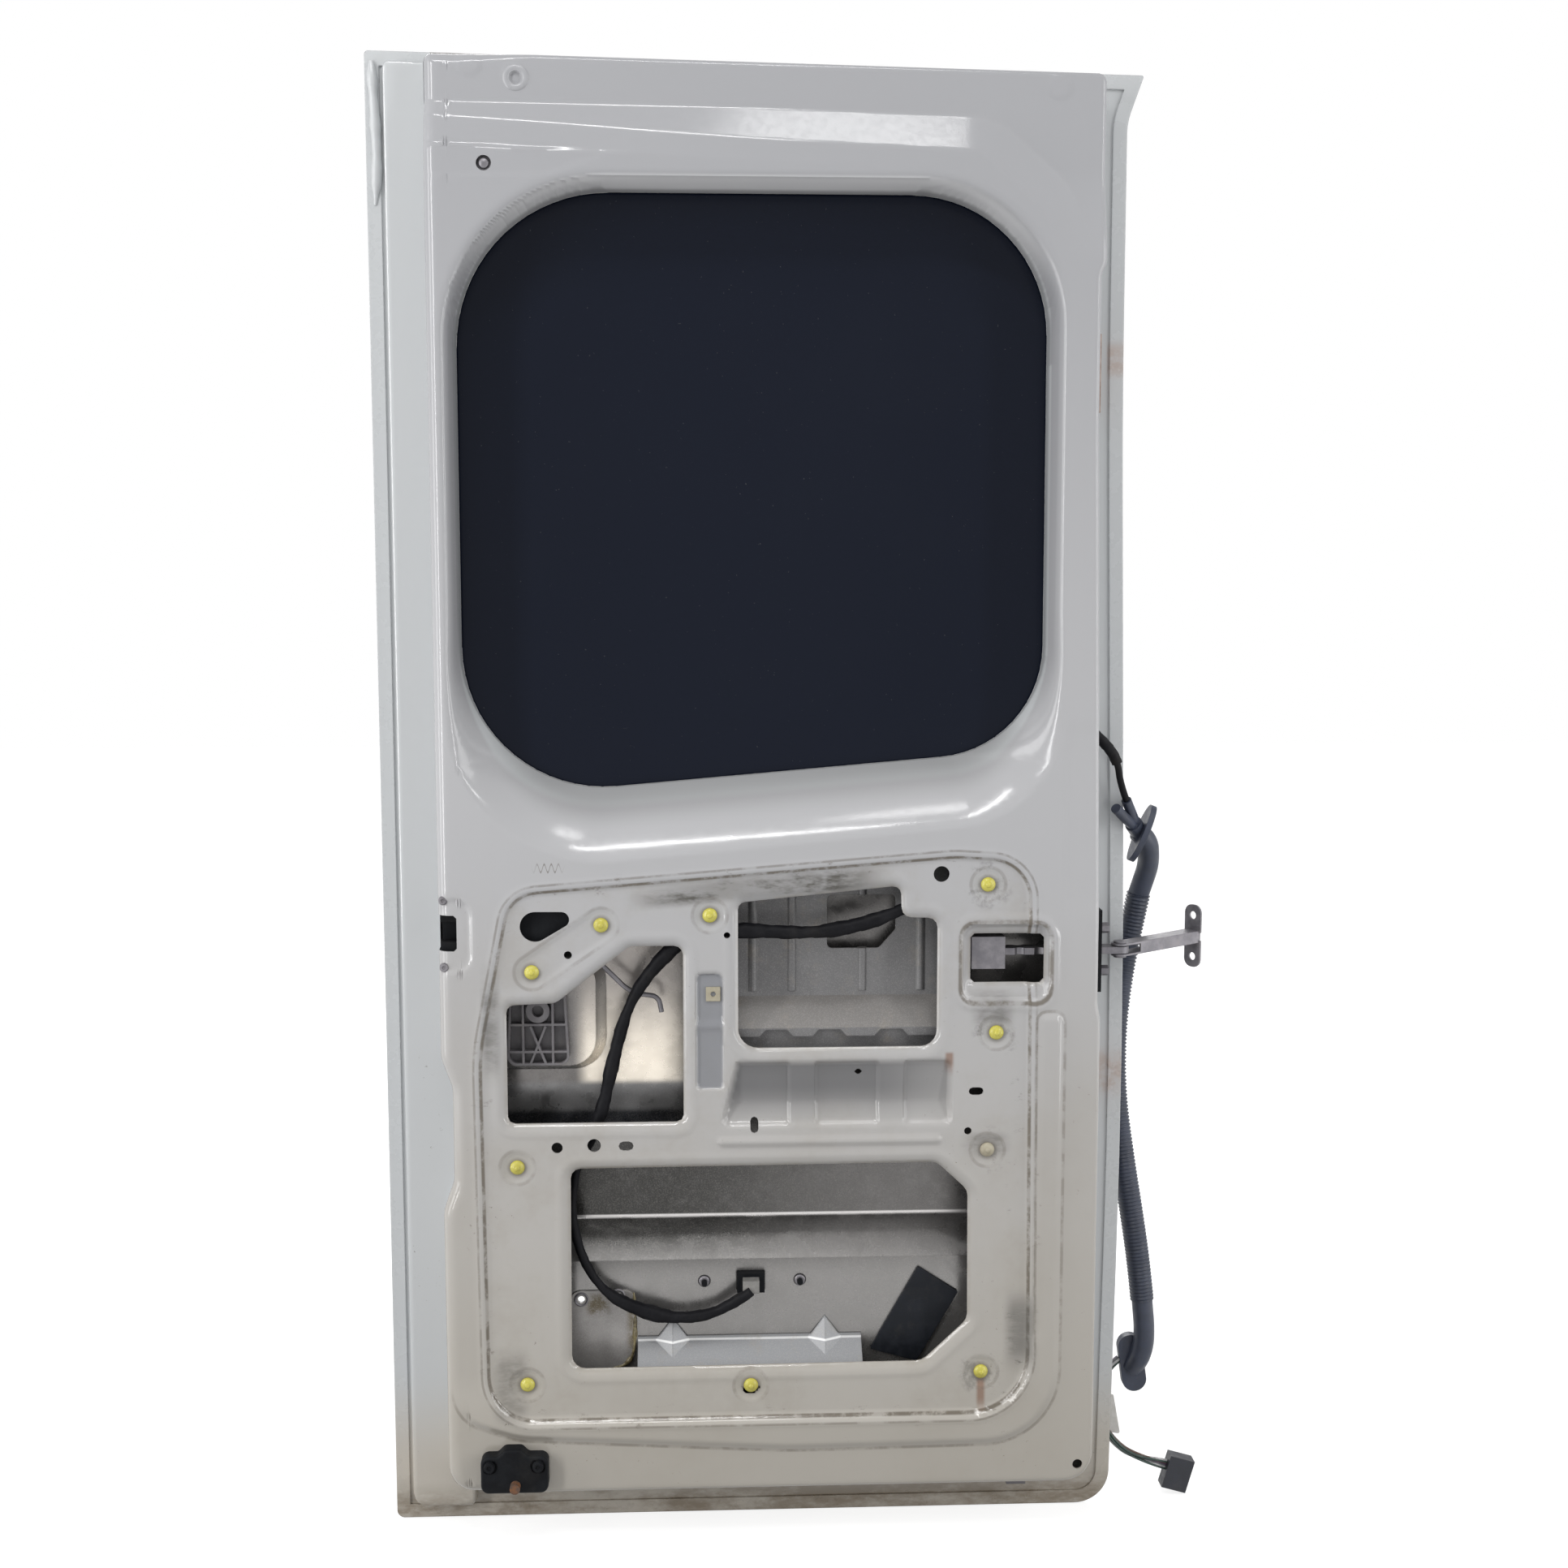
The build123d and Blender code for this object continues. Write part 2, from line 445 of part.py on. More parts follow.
def outer_skin():
    """Outer skin: the form inside its outer face, less the same form one sheet further in, and the hem."""

    def stamping(step):
        """Everything inside the outer face, moved in by step."""
        upper, lower = UPPER_SKIN_Y - step, LOWER_SKIN_Y - step
        foot = SHOULDER_SLOPE - SHOULDER_IN - step
        body = prism(PAN, PLATE_FLOOR_Y - 2 * CUT, RIM_Y, -CORE_GAP)
        raised = taper(RIM, RIM_Y, upper, foot, -SHOULDER_IN - step)
        higher = taper(RIM, RIM_Y, lower, foot, -SHOULDER_IN - step)
        waist = taper(WAIST, RIM_Y - CUT, lower + CUT, WAIST_SLOPE - step, -WAIST_SLOPE - step)
        body += raised + (higher & waist)
        body -= taper(APERTURE, REBATE_Y - step, lower + CUT, REBATE_GROW + step, REBATE_GROW + step + CUT)
        body -= funnel(PLATE_FLOOR, PLATE_FLOOR_Y - step, PLATE_MOUTH, LOWER_SKIN_Y, step)
        body -= funnel(CUP_FLOOR, CUP_FLOOR_Y - step, CUP_MOUTH, LOWER_SKIN_Y, step)
        return body

    rim_inside = SHOULDER_SLOPE - SHOULDER_IN - SHEET
    rim = prism(RIM, RIM_Y, RIM_Y + SHEET) - prism(RIM, RIM_Y - CUT, RIM_Y + CUT, rim_inside)
    skin = stamping(0) - stamping(SHEET) + rim
    skin -= prism(APERTURE, REBATE_Y - 2 * CUT, LOWER_SKIN_Y)
    hem = prism(RIM, RIM_Y - 2 * SHEET, RIM_Y) - prism(RIM, RIM_Y - SHEET, RIM_Y, -SHEET)
    hem -= prism(RIM, RIM_Y - 3 * SHEET, RIM_Y - SHEET, -HEM_WIDTH)
    for wall in (PAN, LEDGE):
        hem -= prism(wall, RIM_Y - 3 * SHEET, RIM_Y - SHEET, HEM_GAP)
    skin += hem
    holes = [(x, z, VENT_R) for x, z in VENT_HOLES] + [(x, LAMP_Z, LAMP_STUD_R + SEAT_GAP) for x in LAMP_STUD_X]
    for x, z, radius in holes:
        skin -= drill(x, z, radius, PLATE_FLOOR_Y - 2 * CUT, PLATE_FLOOR_Y + CUT)
    width, height = LAMP_SOCKET
    socket = box((LAMP_X - width / 2, LAMP_X + width / 2), (0, PLATE_FLOOR_Y + CUT),
                 (LAMP_Z - height / 2, LAMP_Z + height / 2))
    return skin - socket


def window_glass():
    y = REBATE_Y + BEAD_THICK
    return prism(APERTURE, y, y + GLASS_THICK, GLASS_GROW)


def glass_bead():
    """Bonding bead between the rebate and the glass."""
    inner, outer = BEAD
    ring = prism(APERTURE, REBATE_Y, REBATE_Y + BEAD_THICK, outer)
    return ring - prism(APERTURE, REBATE_Y, REBATE_Y + BEAD_THICK, inner)


def hinge_plate(z, wall):
    """Reinforcing plate behind a hinge seat."""
    depth, height = HINGE_PAD
    back = wall - SHEET
    plate = box((back - HINGE_PLATE_THICK, back), (-depth / 2, depth / 2), (z - height / 2, z + height / 2))
    for side in (-1, 1):
        plate -= rod_x(0, z + side * HINGE_BOLT_PITCH / 2, HINGE_BOLT_R, back - 2 * HINGE_PLATE_THICK, 0)
    return plate


def latch_body():
    """Latch case on the latch wall, open for the striker, with the mechanism cover beside it."""
    wall = LATCH_WALL_X + SHEET
    case = box((wall, LATCH[0][0] + CUT), LATCH_Y, LATCH_CASE_Z) + prism(LATCH, *LATCH_Y)
    case -= box((wall - CUT, wall + LATCH_MOUTH), (LATCH_Y[0] - CUT, LATCH_NOTCH_Y), LATCH_SLOT_Z)
    return case - tube(ROD, 2 * ROD_R + 2 * SEAT_GAP, "rod socket")


def handle_carrier():
    """Ribbed back of the outside handle, on the floor of its cup."""
    seat = CUP_FLOOR_Y - SHEET - SEAT_GAP
    front = seat - CARRIER_DEPTH
    left_top, right_top, top = CARRIER_TOP
    left_foot, right_foot, foot = CARRIER_BOTTOM
    corners = [(left_foot, foot, 10), (right_foot, foot, 10), (right_top, top, 6), (left_top, top, 6)]
    shell = prism(corners, front, seat)
    hollow = prism(corners, front - CUT, seat - CARRIER_FLOOR, -CARRIER_RIB)
    boss_x, boss_z, boss_r = CARRIER_BOSS
    half = CARRIER_RIB / 2
    ribs = drill(boss_x, boss_z, boss_r, front, seat)
    for z in CARRIER_CROSS_Z:
        ribs += box((left_foot, right_foot), (front, seat), (z - half, z + half))
    for x in CARRIER_LONG_X:
        ribs += box((x - half, x + half), (front, seat), (foot, top))
    for lean in (-CARRIER_LEAN, CARRIER_LEAN):
        middle = Pos(boss_x, (front + seat) / 2, (foot + CARRIER_CROSS_Z[1]) / 2)
        ribs += middle * Rot(0, lean, 0) * Box(CARRIER_RIB, CARRIER_DEPTH, CARRIER_CROSS_Z[1] - foot)
    carrier = shell - hollow + (ribs & prism(corners, front, seat, -CARRIER_RIB / 2))
    return carrier - drill(boss_x, boss_z, boss_r / 2, front - CUT, seat - CARRIER_FLOOR)


def outside_handle():
    """Pull handle standing in its cup on two posts."""
    grip = prism(HANDLE, *HANDLE_Y)
    outside = grip.faces().sort_by(Axis.Y)[-1]
    grip = fillet(outside.edges(), HANDLE_ROUND)
    for z in HANDLE_POST_Z:
        grip += drill(HANDLE_POST_X, z, HANDLE_POST_R, CUP_FLOOR_Y, HANDLE_Y[0] + CUT)
    return grip


def sheet_section(points, thickness):
    """Closed outline of a bent sheet, from the (y, z) points of one side."""
    other = []
    for i, point in enumerate(points):
        here = Vector(*point)
        before = (here - Vector(*points[i - 1])).normalized() if i else None
        after = (Vector(*points[i + 1]) - here).normalized() if i + 1 < len(points) else None
        first = before or after
        second = after or before
        normals = [Vector(-v.Y, v.X) for v in (first, second)]
        shift = (normals[0] + normals[1]) * (thickness / (1 + normals[0].dot(normals[1])))
        other.append((point[0] + shift.X, point[1] + shift.Y))
    return list(points) + other[::-1]


def bent_sheet(points, thickness, x_range):
    """Bent sheet along X from a section of (y, z) points."""
    section = Plane.YZ * make_face(Polyline(*sheet_section(points, thickness), close=True).edges())
    return Pos(x_range[0], 0, 0) * extrude(section, amount=x_range[1] - x_range[0], dir=(1, 0, 0))


def waist_beam():
    """Ribbed reinforcement behind the right opening, with a scalloped ledge."""
    skin = LOWER_SKIN_Y - SHEET
    ledge_y, ledge_z = BEAM_LEDGE
    low, high = BEAM_Z
    section = [(ledge_y, ledge_z - BEAM_LIP), (ledge_y, ledge_z), (BEAM_Y, low), (BEAM_Y, high), (skin, high)]
    beam = bent_sheet(section, -SHEET, BEAM_X)
    for x in BEAM_RIBS:
        beam += Pos(x, BEAM_Y + BEAM_RIB_R / 2, (low + high) / 2) * Cylinder(BEAM_RIB_R, high - low - 2 * CUT)
    beam -= prism(BEAM_CUT, BEAM_Y - 2 * CUT, BEAM_Y + 2 * CUT)
    edge, root, tall = SCALLOP
    foot = ledge_z - BEAM_LIP
    for x in SCALLOP_X:
        notch = [(x - edge / 2, foot - CUT, 0.5), (x + edge / 2, foot - CUT, 0.5), (x + edge / 2, foot, 1.0),
                 (x + root / 2, foot + tall, 2.0), (x - root / 2, foot + tall, 2.0), (x - edge / 2, foot, 1.0)]
        beam -= prism(notch, ledge_y - CUT, ledge_y + CUT)
    back, drop = BEAM_WEB
    return beam + box(BEAM_X, (ledge_y + back, ledge_y + back + SHEET), (ledge_z - drop, ledge_z + CUT))


def lower_rail():
    """Sloping rail at the foot of the lower opening, with two pressed darts."""
    floor = PLATE_FLOOR_Y - SHEET
    front = FIELD_Y + SHEET
    top, bend, foot, end = RAIL_Z
    section = [(front, end), (front, foot), (floor - SHEET, bend), (floor - SHEET, top)]
    rail = bent_sheet(section, -SHEET, RAIL_X)
    for x, z in CLIPS:
        rail -= drill(x, z, CLIP_DIMPLE_R + SHEET + CLIP_GAP, front - CUT, front + SHEET + SEAT_GAP)
    slope = Vector(0, floor - SHEET - front, bend - foot).normalized()
    normal = Vector(0, -slope.Z, slope.Y)
    middle = Vector(0, (floor - SHEET + front) / 2, (bend + foot) / 2)
    height, half = DART
    for x in RAIL_DARTS:
        base = Plane(origin=middle + Vector(x, 0, 0), x_dir=(1, 0, 0), z_dir=normal)
        tip = Plane(origin=middle + Vector(x, 0, 0) + normal * height, x_dir=(1, 0, 0), z_dir=normal)
        rail += loft([base * Rectangle(2 * half, 2 * half), tip * Rectangle(1, 1)], ruled=True)
    return rail


def patch_plate():
    """Patch stuck inside the plate recess, pierced with its two open holes."""
    floor = PLATE_FLOOR_Y - SHEET
    patch = prism(PATCH, floor - SHEET, floor)
    for x, z in VENT_HOLES:
        patch -= drill(x, z, VENT_R, floor - 2 * CUT, floor + CUT)
    return patch


def sound_pad():
    floor = PLATE_FLOOR_Y - SHEET
    return prism(PAD, floor - PAD_THICK, floor)


def plate_lamp():
    """Lamp bar under the shelf of the plate recess, with studs and a socket through the skin."""
    length, height, depth = LAMP_BAR
    half = height / 2
    bar = [(LAMP_X - length / 2, LAMP_Z - half, 8), (LAMP_X + length / 2, LAMP_Z - half, 8),
           (LAMP_X + length / 2, LAMP_Z + half, 8), (LAMP_X - length / 2, LAMP_Z + half, 8)]
    lamp = prism(bar, PLATE_FLOOR_Y, PLATE_FLOOR_Y + depth)
    lamp = fillet(lamp.faces().sort_by(Axis.Y)[-1].edges(), LAMP_ROUND)
    width, tall = [size - 2 * SEAT_GAP for size in LAMP_SOCKET]
    lamp += box((LAMP_X - width / 2, LAMP_X + width / 2), (LAMP_FRONT_Y, PLATE_FLOOR_Y + CUT),
                (LAMP_Z - tall / 2, LAMP_Z + tall / 2))
    for x in LAMP_STUD_X:
        lamp += drill(x, LAMP_Z, LAMP_STUD_R, LAMP_FRONT_Y, PLATE_FLOOR_Y + CUT)
    return lamp


def lamp_plug():
    width, height, depth = LAMP_PLUG
    plug = box((LAMP_X - width / 2, LAMP_X + width / 2), (LAMP_FRONT_Y - depth, LAMP_FRONT_Y),
               (LAMP_Z - height / 2, LAMP_Z + height / 2))
    return plug


def clip(x, z):
    """Mushroom trim clip in its hole."""
    head = drill(x, z, CLIP_HEAD_R, CLIP_SEAT_Y - CLIP_HEAD, CLIP_SEAT_Y)
    head = chamfer(head.faces().sort_by(Axis.Y)[0].edges(), CLIP_HEAD / 2)
    return head + drill(x, z, CLIP_STEM_R, CLIP_SEAT_Y, CLIP_SEAT_Y + CLIP_STEM)


def trim_clips():
    return Compound(children=[clip(x, z) for x, z in CLIPS])


def nut_clip():
    """Plastic nut in a square hole."""
    x, z = NUT_CLIP
    half = NUT_CLIP_HOLE / 2 - SEAT_GAP
    rim = half + NUT_CLIP_RIM
    body = box((x - half, x + half), (NUT_SEAT_Y, NUT_SEAT_Y + 2 * CUT), (z - half, z + half))
    body += box((x - rim, x + rim), (NUT_SEAT_Y - NUT_CLIP_RIM, NUT_SEAT_Y), (z - rim, z + rim))
    return body - drill(x, z, half / 2, NUT_SEAT_Y - CUT, NUT_SEAT_Y + CUT)


def guide_block():
    block = prism(GUIDE, FACE_Y - GUIDE_THICK, FACE_Y)
    return fillet(block.faces().sort_by(Axis.Y)[0].edges(), GUIDE_ROUND)


def guide_pin():
    x, z = GUIDE_PIN
    front = FACE_Y - GUIDE_THICK
    return drill(x, z, GUIDE_PIN_R, front - GUIDE_PIN_LENGTH, front)


def foot_clip():
    x, width, height, depth = FOOT_CLIP
    return box((x - width / 2, x + width / 2), (-depth, 0), (PANEL_BOTTOM_Z - height, PANEL_BOTTOM_Z))


def limiter():
    """Check limiter: box inside the hinge wall, plate outside, slotted for the arm."""
    thick, plate_y, plate_z = LIMITER_PLATE
    length, box_y, box_z = LIMITER_BOX
    inside = HINGE_WALL_X - SHEET
    body = box((HINGE_WALL_X, HINGE_WALL_X + thick), (-plate_y / 2, plate_y / 2),
               (ARM_Z - plate_z / 2, ARM_Z + plate_z / 2))
    body += box((inside - length, inside), (-box_y / 2, box_y / 2), (ARM_Z - box_z / 2, ARM_Z + box_z / 2))
    neck_y, neck_z = [size / 2 - SEAT_GAP for size in WALL_SLOT]
    body += box((inside, HINGE_WALL_X), (-neck_y, neck_y), (ARM_Z - neck_z, ARM_Z + neck_z))
    slot_width, slot_height = [size / 2 + ARM_GAP for size in ARM]
    return body - box((inside - length - CUT, HINGE_WALL_X + thick + CUT), (-slot_width, slot_width),
                      (ARM_Z - slot_height, ARM_Z + slot_height))


def limiter_bolts():
    """Hexagon bolts on the limiter plate."""
    face = HINGE_WALL_X + LIMITER_PLATE[0]
    bolts = []
    for side in (-1, 1):
        plane = Plane(origin=(face, 0, ARM_Z + side * LIMITER_BOLT_PITCH / 2), z_dir=(1, 0, 0))
        bolts.append(extrude(plane * RegularPolygon(LIMITER_BOLT_R, 6), amount=LIMITER_BOLT_HEAD))
    return Compound(children=bolts)


def arm_bar():
    width, height = ARM
    return box((ARM_INNER_X, PIN_X), (-width / 2, width / 2), (ARM_Z - height / 2, ARM_Z + height / 2))


def check_arm():
    """Check arm with detent notches and the eye of its pin."""
    width, height = ARM
    arm = arm_bar() + Pos(PIN_X, 0, ARM_Z) * Cylinder(width / 2, height)
    for x in DETENT_X:
        for side in (-1, 1):
            arm -= Pos(x, side * (width / 2 + DETENT_R / 2), ARM_Z) * Cylinder(DETENT_R, 2 * height)
    return arm - Pos(PIN_X, 0, ARM_Z) * Cylinder(PIN_R + PIN_GAP, 2 * height)


def arm_stop():
    """End stop clamped round the inner end of the arm."""
    depth, height = STOP
    block = box(STOP_X, (-depth / 2, depth / 2), (ARM_Z - height / 2, ARM_Z + height / 2))
    return block - arm_bar()


def at_pin(solid):
    """Place a piece made along X from the pin, turned to its resting angle."""
    return Pos(PIN_X, 0, ARM_Z) * Rot(0, 0, BRACKET_YAW) * solid


def check_bracket():
    """Channel with two turned-out ears that bolts to the body of the vehicle."""
    inside = ARM[1] / 2 + BRACKET_GAP
    outside = inside + BRACKET_SHEET
    half = BRACKET_WIDTH / 2
    bracket = box((BRACKET_WEB_X, BRACKET_LENGTH), (-half, BRACKET_SHEET - half), (-outside, outside))
    ear_width, ear_height = EAR
    for side in (-1, 1):
        flange = box((0, BRACKET_LENGTH), (-half, half), (side * inside, side * outside))
        flange += Pos(0, 0, side * (inside + outside) / 2) * Cylinder(half, BRACKET_SHEET)
        flange -= Pos(0, 0, side * inside) * Cylinder(PIN_R + PIN_GAP, 4 * BRACKET_SHEET)
        ear = box((BRACKET_LENGTH - BRACKET_SHEET, BRACKET_LENGTH), (-ear_width / 2, ear_width / 2),
                  (side * inside, side * (inside + ear_height)))
        tip = ear.edges().filter_by(Axis.X).sort_by(Axis.Z)
        ear = fillet(tip[-2:] if side > 0 else tip[:2], EAR_R)
        ear -= rod_x(0, side * EAR_HOLE_Z, EAR_HOLE_R, BRACKET_LENGTH - CUT, BRACKET_LENGTH + CUT)
        bracket += flange + ear
    return at_pin(bracket)


def check_pin():
    """Riveted pin through the channel and the arm."""
    outside = ARM[1] / 2 + BRACKET_GAP + BRACKET_SHEET
    pin = Cylinder(PIN_R, 2 * outside)
    for side in (-1, 1):
        pin += Pos(0, 0, side * (outside + PIN_HEAD / 2)) * Cylinder(PIN_HEAD_R, PIN_HEAD)
    return at_pin(pin)


def upper_grommet():
    """Moulded elbow of the door harness, with an oval flange and two stubs towards the door."""
    flange_long, flange_wide, flange_thick = GROMMET_FLANGE
    start = Vector(*GROMMET_PATH[0])
    plane = Plane(origin=start, x_dir=(-0.38, 0, -0.92), z_dir=(0.92, 0, -0.38))
    grommet = extrude(plane * Ellipse(flange_long / 2, flange_wide / 2), amount=flange_thick)
    for point in GROMMET_STUBS:
        end = Vector(*point)
        along = (start - end).normalized()
        stub = extrude(Plane(origin=end, z_dir=along) * Circle(STUB_R), amount=(start - end).length + flange_thick)
        grommet += stub
    neck = Vector(*GROMMET_NECK)
    along = (start - neck).normalized()
    grommet += extrude(Plane(origin=neck, z_dir=along) * Circle(GROMMET_NECK_R), amount=(start - neck).length)
    return grommet + tube(GROMMET_PATH, TUBE_D, "upper grommet")


def lower_grommet():
    """Boot at the foot of the conduit: its bend runs into a flange with round ends."""
    flange_long, flange_wide, flange_thick = LOWER_FLANGE
    plane = Plane(origin=LOWER_FLANGE_AT, x_dir=(1, 0, 0), z_dir=(0, 1, 0))
    outline = Rot(0, 0, 90 + LOWER_FLANGE_TILT) * SlotOverall(flange_long, flange_wide)
    flange = extrude(plane * outline, amount=flange_thick)
    return tube(LOWER_GROMMET, TUBE_D, "lower grommet") + flange


def tail_connector():
    """Plug housing at the end of the tail, tilted as it hangs."""
    length, depth, height = PLUG
    end = Vector(*TAIL[-1])
    housing = Pos(length / 2, 0, -PLUG_DROP) * Box(length, depth, height)
    return Pos(end.X, end.Y, end.Z) * Rot(0, PLUG_TILT, 0) * housing


def main():
    os.makedirs("parts", exist_ok=True)
    pressing = inner_panel()
    all_round = (-REACH, REACH)
    foot, sill = SPLIT_Z
    latch_end, hinge_end = SPLIT_X
    band = pressing & box(all_round, all_round, (foot, sill))
    nodes = {
        "window_frame": pressing & box(all_round, all_round, (sill, REACH)),
        "latch_panel": band & box((-REACH, latch_end), all_round, all_round),
        "inner_panel": band & box((latch_end, hinge_end), all_round, all_round),
        "hinge_panel": band & box((hinge_end, REACH), all_round, all_round),
        "lower_panel": pressing & box(all_round, all_round, (-REACH, foot)),
        "outer_skin": outer_skin(),
        "window_glass": window_glass(),
        "glass_bead": glass_bead(),
        "lower_hinge_plate": hinge_plate(HINGE_Z[0], HINGE_WALLS[0]),
        "upper_hinge_plate": hinge_plate(HINGE_Z[1], HINGE_WALLS[1]),
        "latch_body": latch_body(),
        "lock_rod": tube(ROD, 2 * ROD_R, "lock rod"),
        "handle_carrier": handle_carrier(),
        "outside_handle": outside_handle(),
        "waist_beam": waist_beam(),
        "lower_rail": lower_rail(),
        "patch_plate": patch_plate(),
        "sound_pad": sound_pad(),
        "plate_lamp": plate_lamp(),
        "lamp_plug": lamp_plug(),
        "door_harness": tube(HARNESS, HARNESS_D, "door harness"),
        "trim_clips": trim_clips(),
        "pale_clip": clip(*PALE_CLIP),
        "nut_clip": nut_clip(),
        "guide_block": guide_block(),
        "guide_pin": guide_pin(),
        "foot_clip": foot_clip(),
        "limiter": limiter(),
        "limiter_bolts": limiter_bolts(),
        "check_arm": check_arm(),
        "arm_stop": arm_stop(),
        "check_bracket": check_bracket(),
        "check_pin": check_pin(),
        "harness_lead": tube(LEAD, LEAD_D, "harness lead"),
        "upper_grommet": upper_grommet(),
        "conduit": tube(CONDUIT, CONDUIT_D, "conduit"),
        "lower_grommet": lower_grommet(),
        "wire_tail": tube(TAIL, TAIL_D, "wire tail"),
        "tail_connector": tail_connector(),
        "blank_tag": prism(TAG, *TAG_Y),
    }
    for name, solid in nodes.items():
        export_step(solid, f"parts/{name}.step")


main()
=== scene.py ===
import json
import math
import bmesh
import bpy
import numpy as np
from mathutils import Matrix, Vector
from mathutils.geometry import delaunay_2d_cdt

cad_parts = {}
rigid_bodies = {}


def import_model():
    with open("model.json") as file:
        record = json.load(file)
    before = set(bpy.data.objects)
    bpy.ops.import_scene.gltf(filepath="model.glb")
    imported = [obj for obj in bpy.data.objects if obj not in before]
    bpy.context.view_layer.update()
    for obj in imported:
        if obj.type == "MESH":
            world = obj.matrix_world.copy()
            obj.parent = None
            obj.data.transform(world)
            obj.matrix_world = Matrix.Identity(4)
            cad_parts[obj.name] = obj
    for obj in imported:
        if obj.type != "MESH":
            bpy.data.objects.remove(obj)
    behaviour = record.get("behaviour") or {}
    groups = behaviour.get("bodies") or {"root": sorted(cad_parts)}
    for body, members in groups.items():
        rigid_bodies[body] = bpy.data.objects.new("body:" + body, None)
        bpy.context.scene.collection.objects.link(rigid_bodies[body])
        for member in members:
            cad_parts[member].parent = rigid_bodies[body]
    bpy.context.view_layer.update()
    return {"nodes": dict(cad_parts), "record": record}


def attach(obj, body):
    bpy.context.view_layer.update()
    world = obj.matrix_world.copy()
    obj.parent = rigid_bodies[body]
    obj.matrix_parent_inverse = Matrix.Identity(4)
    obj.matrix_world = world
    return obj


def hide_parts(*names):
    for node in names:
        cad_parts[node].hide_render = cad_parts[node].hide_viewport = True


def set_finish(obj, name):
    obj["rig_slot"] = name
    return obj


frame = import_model()

# Rear barn door leaf of a van, seen from inside. Sizes are millimetres and are scaled to metres once.
# x runs to the hinge edge, z up, and y towards the outside, so the camera side is -y.
MM = 0.001

# Depth levels
FACE_Y = -32.0
LEDGE_Y = 12.0
FLANGE_Y = 28.0
REBATE_Y = 24.0
NOTCH_Y = -4.0
CLIP_SEAT_Y = -27.0
GUIDE_FACE_Y = -47.0
LAMP_SEAT_Y = 12.0

# Outlines: corners (x, z, radius), anticlockwise seen from inside
RIM = [(-724, -470, 8), (28, -470, 36), (36, 20, 12000), (22, 690, 9000), (21.5, 958, 60), (37.5, 1003, 2),
       (-724, 1018, 4)]
PAN = [(-663, -418, 26), (-1, -418, 30), (-1, 70, 30), (-4, 84, 30), (-4, 200, 400), (-12.6, 660, 400),
       (-12.6, 803, 12), (-7.6, 814, 12), (-7.6, 995, 8), (-663, 1008, 8), (-663, 34, 30), (-652, 4, 30),
       (-652, -92, 30), (-663, -122, 30)]
LEDGE = [(-705, -452, 14), (-640, -452, 4), (-640, 1004, 4), (-705, 1006, 6)]
APERTURE = [(-640, 289, 140), (-55, 339, 112), (-56, 886, 135), (-640, 886, 150)]
MOUTH = [(-652, 218, 150), (-41, 274, 115), (-41, 897, 140), (-652, 897, 155)]
RIDGE = [(-800, 964, 0), (-640, 962, 200), (-348, 959, 900), (-116, 953, 70), (-40, 888, 90), (-19, 826, 30),
         (80, 780, 0), (80, 1200, 0), (-800, 1200, 0)]
FIELD = [(-620, -342, 48), (-69, -342, 62), (-73, 231, 42), (-150, 236, 60), (-592, 201, 34), (-624, 40, 220)]
BORDER = [(-657, -340, 44), (-590, -362, 60), (-317, -378, 400), (-37, -375, 78), (-37, 78, 10), (-66, 78, 10),
          (-66, -290, 40), (-657, -290, 8)]
CHECK_PAN = [(-142, 87, 14), (-53, 87, 14), (-53, 168, 14), (-142, 168, 14)]
CROSS_PAN = [(-386, -40, 8), (-148, -40, 8), (-148, 31, 10), (-370, 31, 6)]
RIB_BAR = [(-388, -58, 5), (-160, -58, 5), (-160, -48, 5), (-388, -48, 5)]
PILLAR = [(-410, -1, 6), (-379, -1, 6), (-379, 121, 8), (-410, 121, 8)]
CORNER_PAD = [(-670, 888, 0), (-545, 891, 10), (-480, 913, 3), (-670, 920, 0)]
LATCH_PAN = [(-690, 121, 0), (-627, 121, 18), (-627, 199, 18), (-690, 199, 0)]
LATCH_NOTCH = [(-680, 144, 0), (-644, 144, 3), (-644, 180, 3), (-680, 180, 0)]
LEFT_OPENING = [(-597, -33, 7), (-421, -33, 7), (-421, 147, 9), (-474, 147, 12), (-548, 90, 14), (-597, 88, 8)]
RIGHT_OPENING = [(-366, 42, 20), (-166, 42, 16), (-166, 173, 10), (-202, 174, 10), (-203, 206, 8), (-366, 190, 8)]
LOWER_OPENING = [(-536, -290, 14), (-178, -288, 16), (-132, -245, 14), (-133, -108, 14), (-165, -78, 14),
                 (-535, -80, 10)]
CHECK_OPENING = [(-132, 106, 4), (-58, 106, 4), (-58, 156, 4), (-132, 156, 4)]
OPENINGS = [LEFT_OPENING, RIGHT_OPENING, LOWER_OPENING, CHECK_OPENING]
ROUND_HOLES = [(-163, 218, 8.0), (-377, 158, 3.2), (-548, -57, 5.6), (-511, -55, 6.8), (-134, -45, 3.8),
               (-17, -399, 5.2), (-535, 139, 4.0), (-605, 902, 7.2), (-575, 984, 6.4)]
SLOT_HOLES = [(-479, -56, 15.0, 9.6), (-350, -37, 8.0, 15.0), (-126, -4, 15.0, 8.0), (-245, 16, 8.0, 5.6)]
KEYHOLE = ((-567, 168, 15.0), (-541, 175, 7.8))
CLIPS = [(-502, 169), (-571, 122), (-394, 178), (-116, 207), (-106, 56), (-588, -77), (-581, -304), (-354, -309),
         (-118, -299)]
PALE_CLIP = (-114, -65)
TOP_DISCS = [(-619, 997), (-576, 985), (-54, 981)]
HINGE_SEATS = [(0, -1, 0), (710, -12.6, -9.6)]   # height, wall and face of the seat

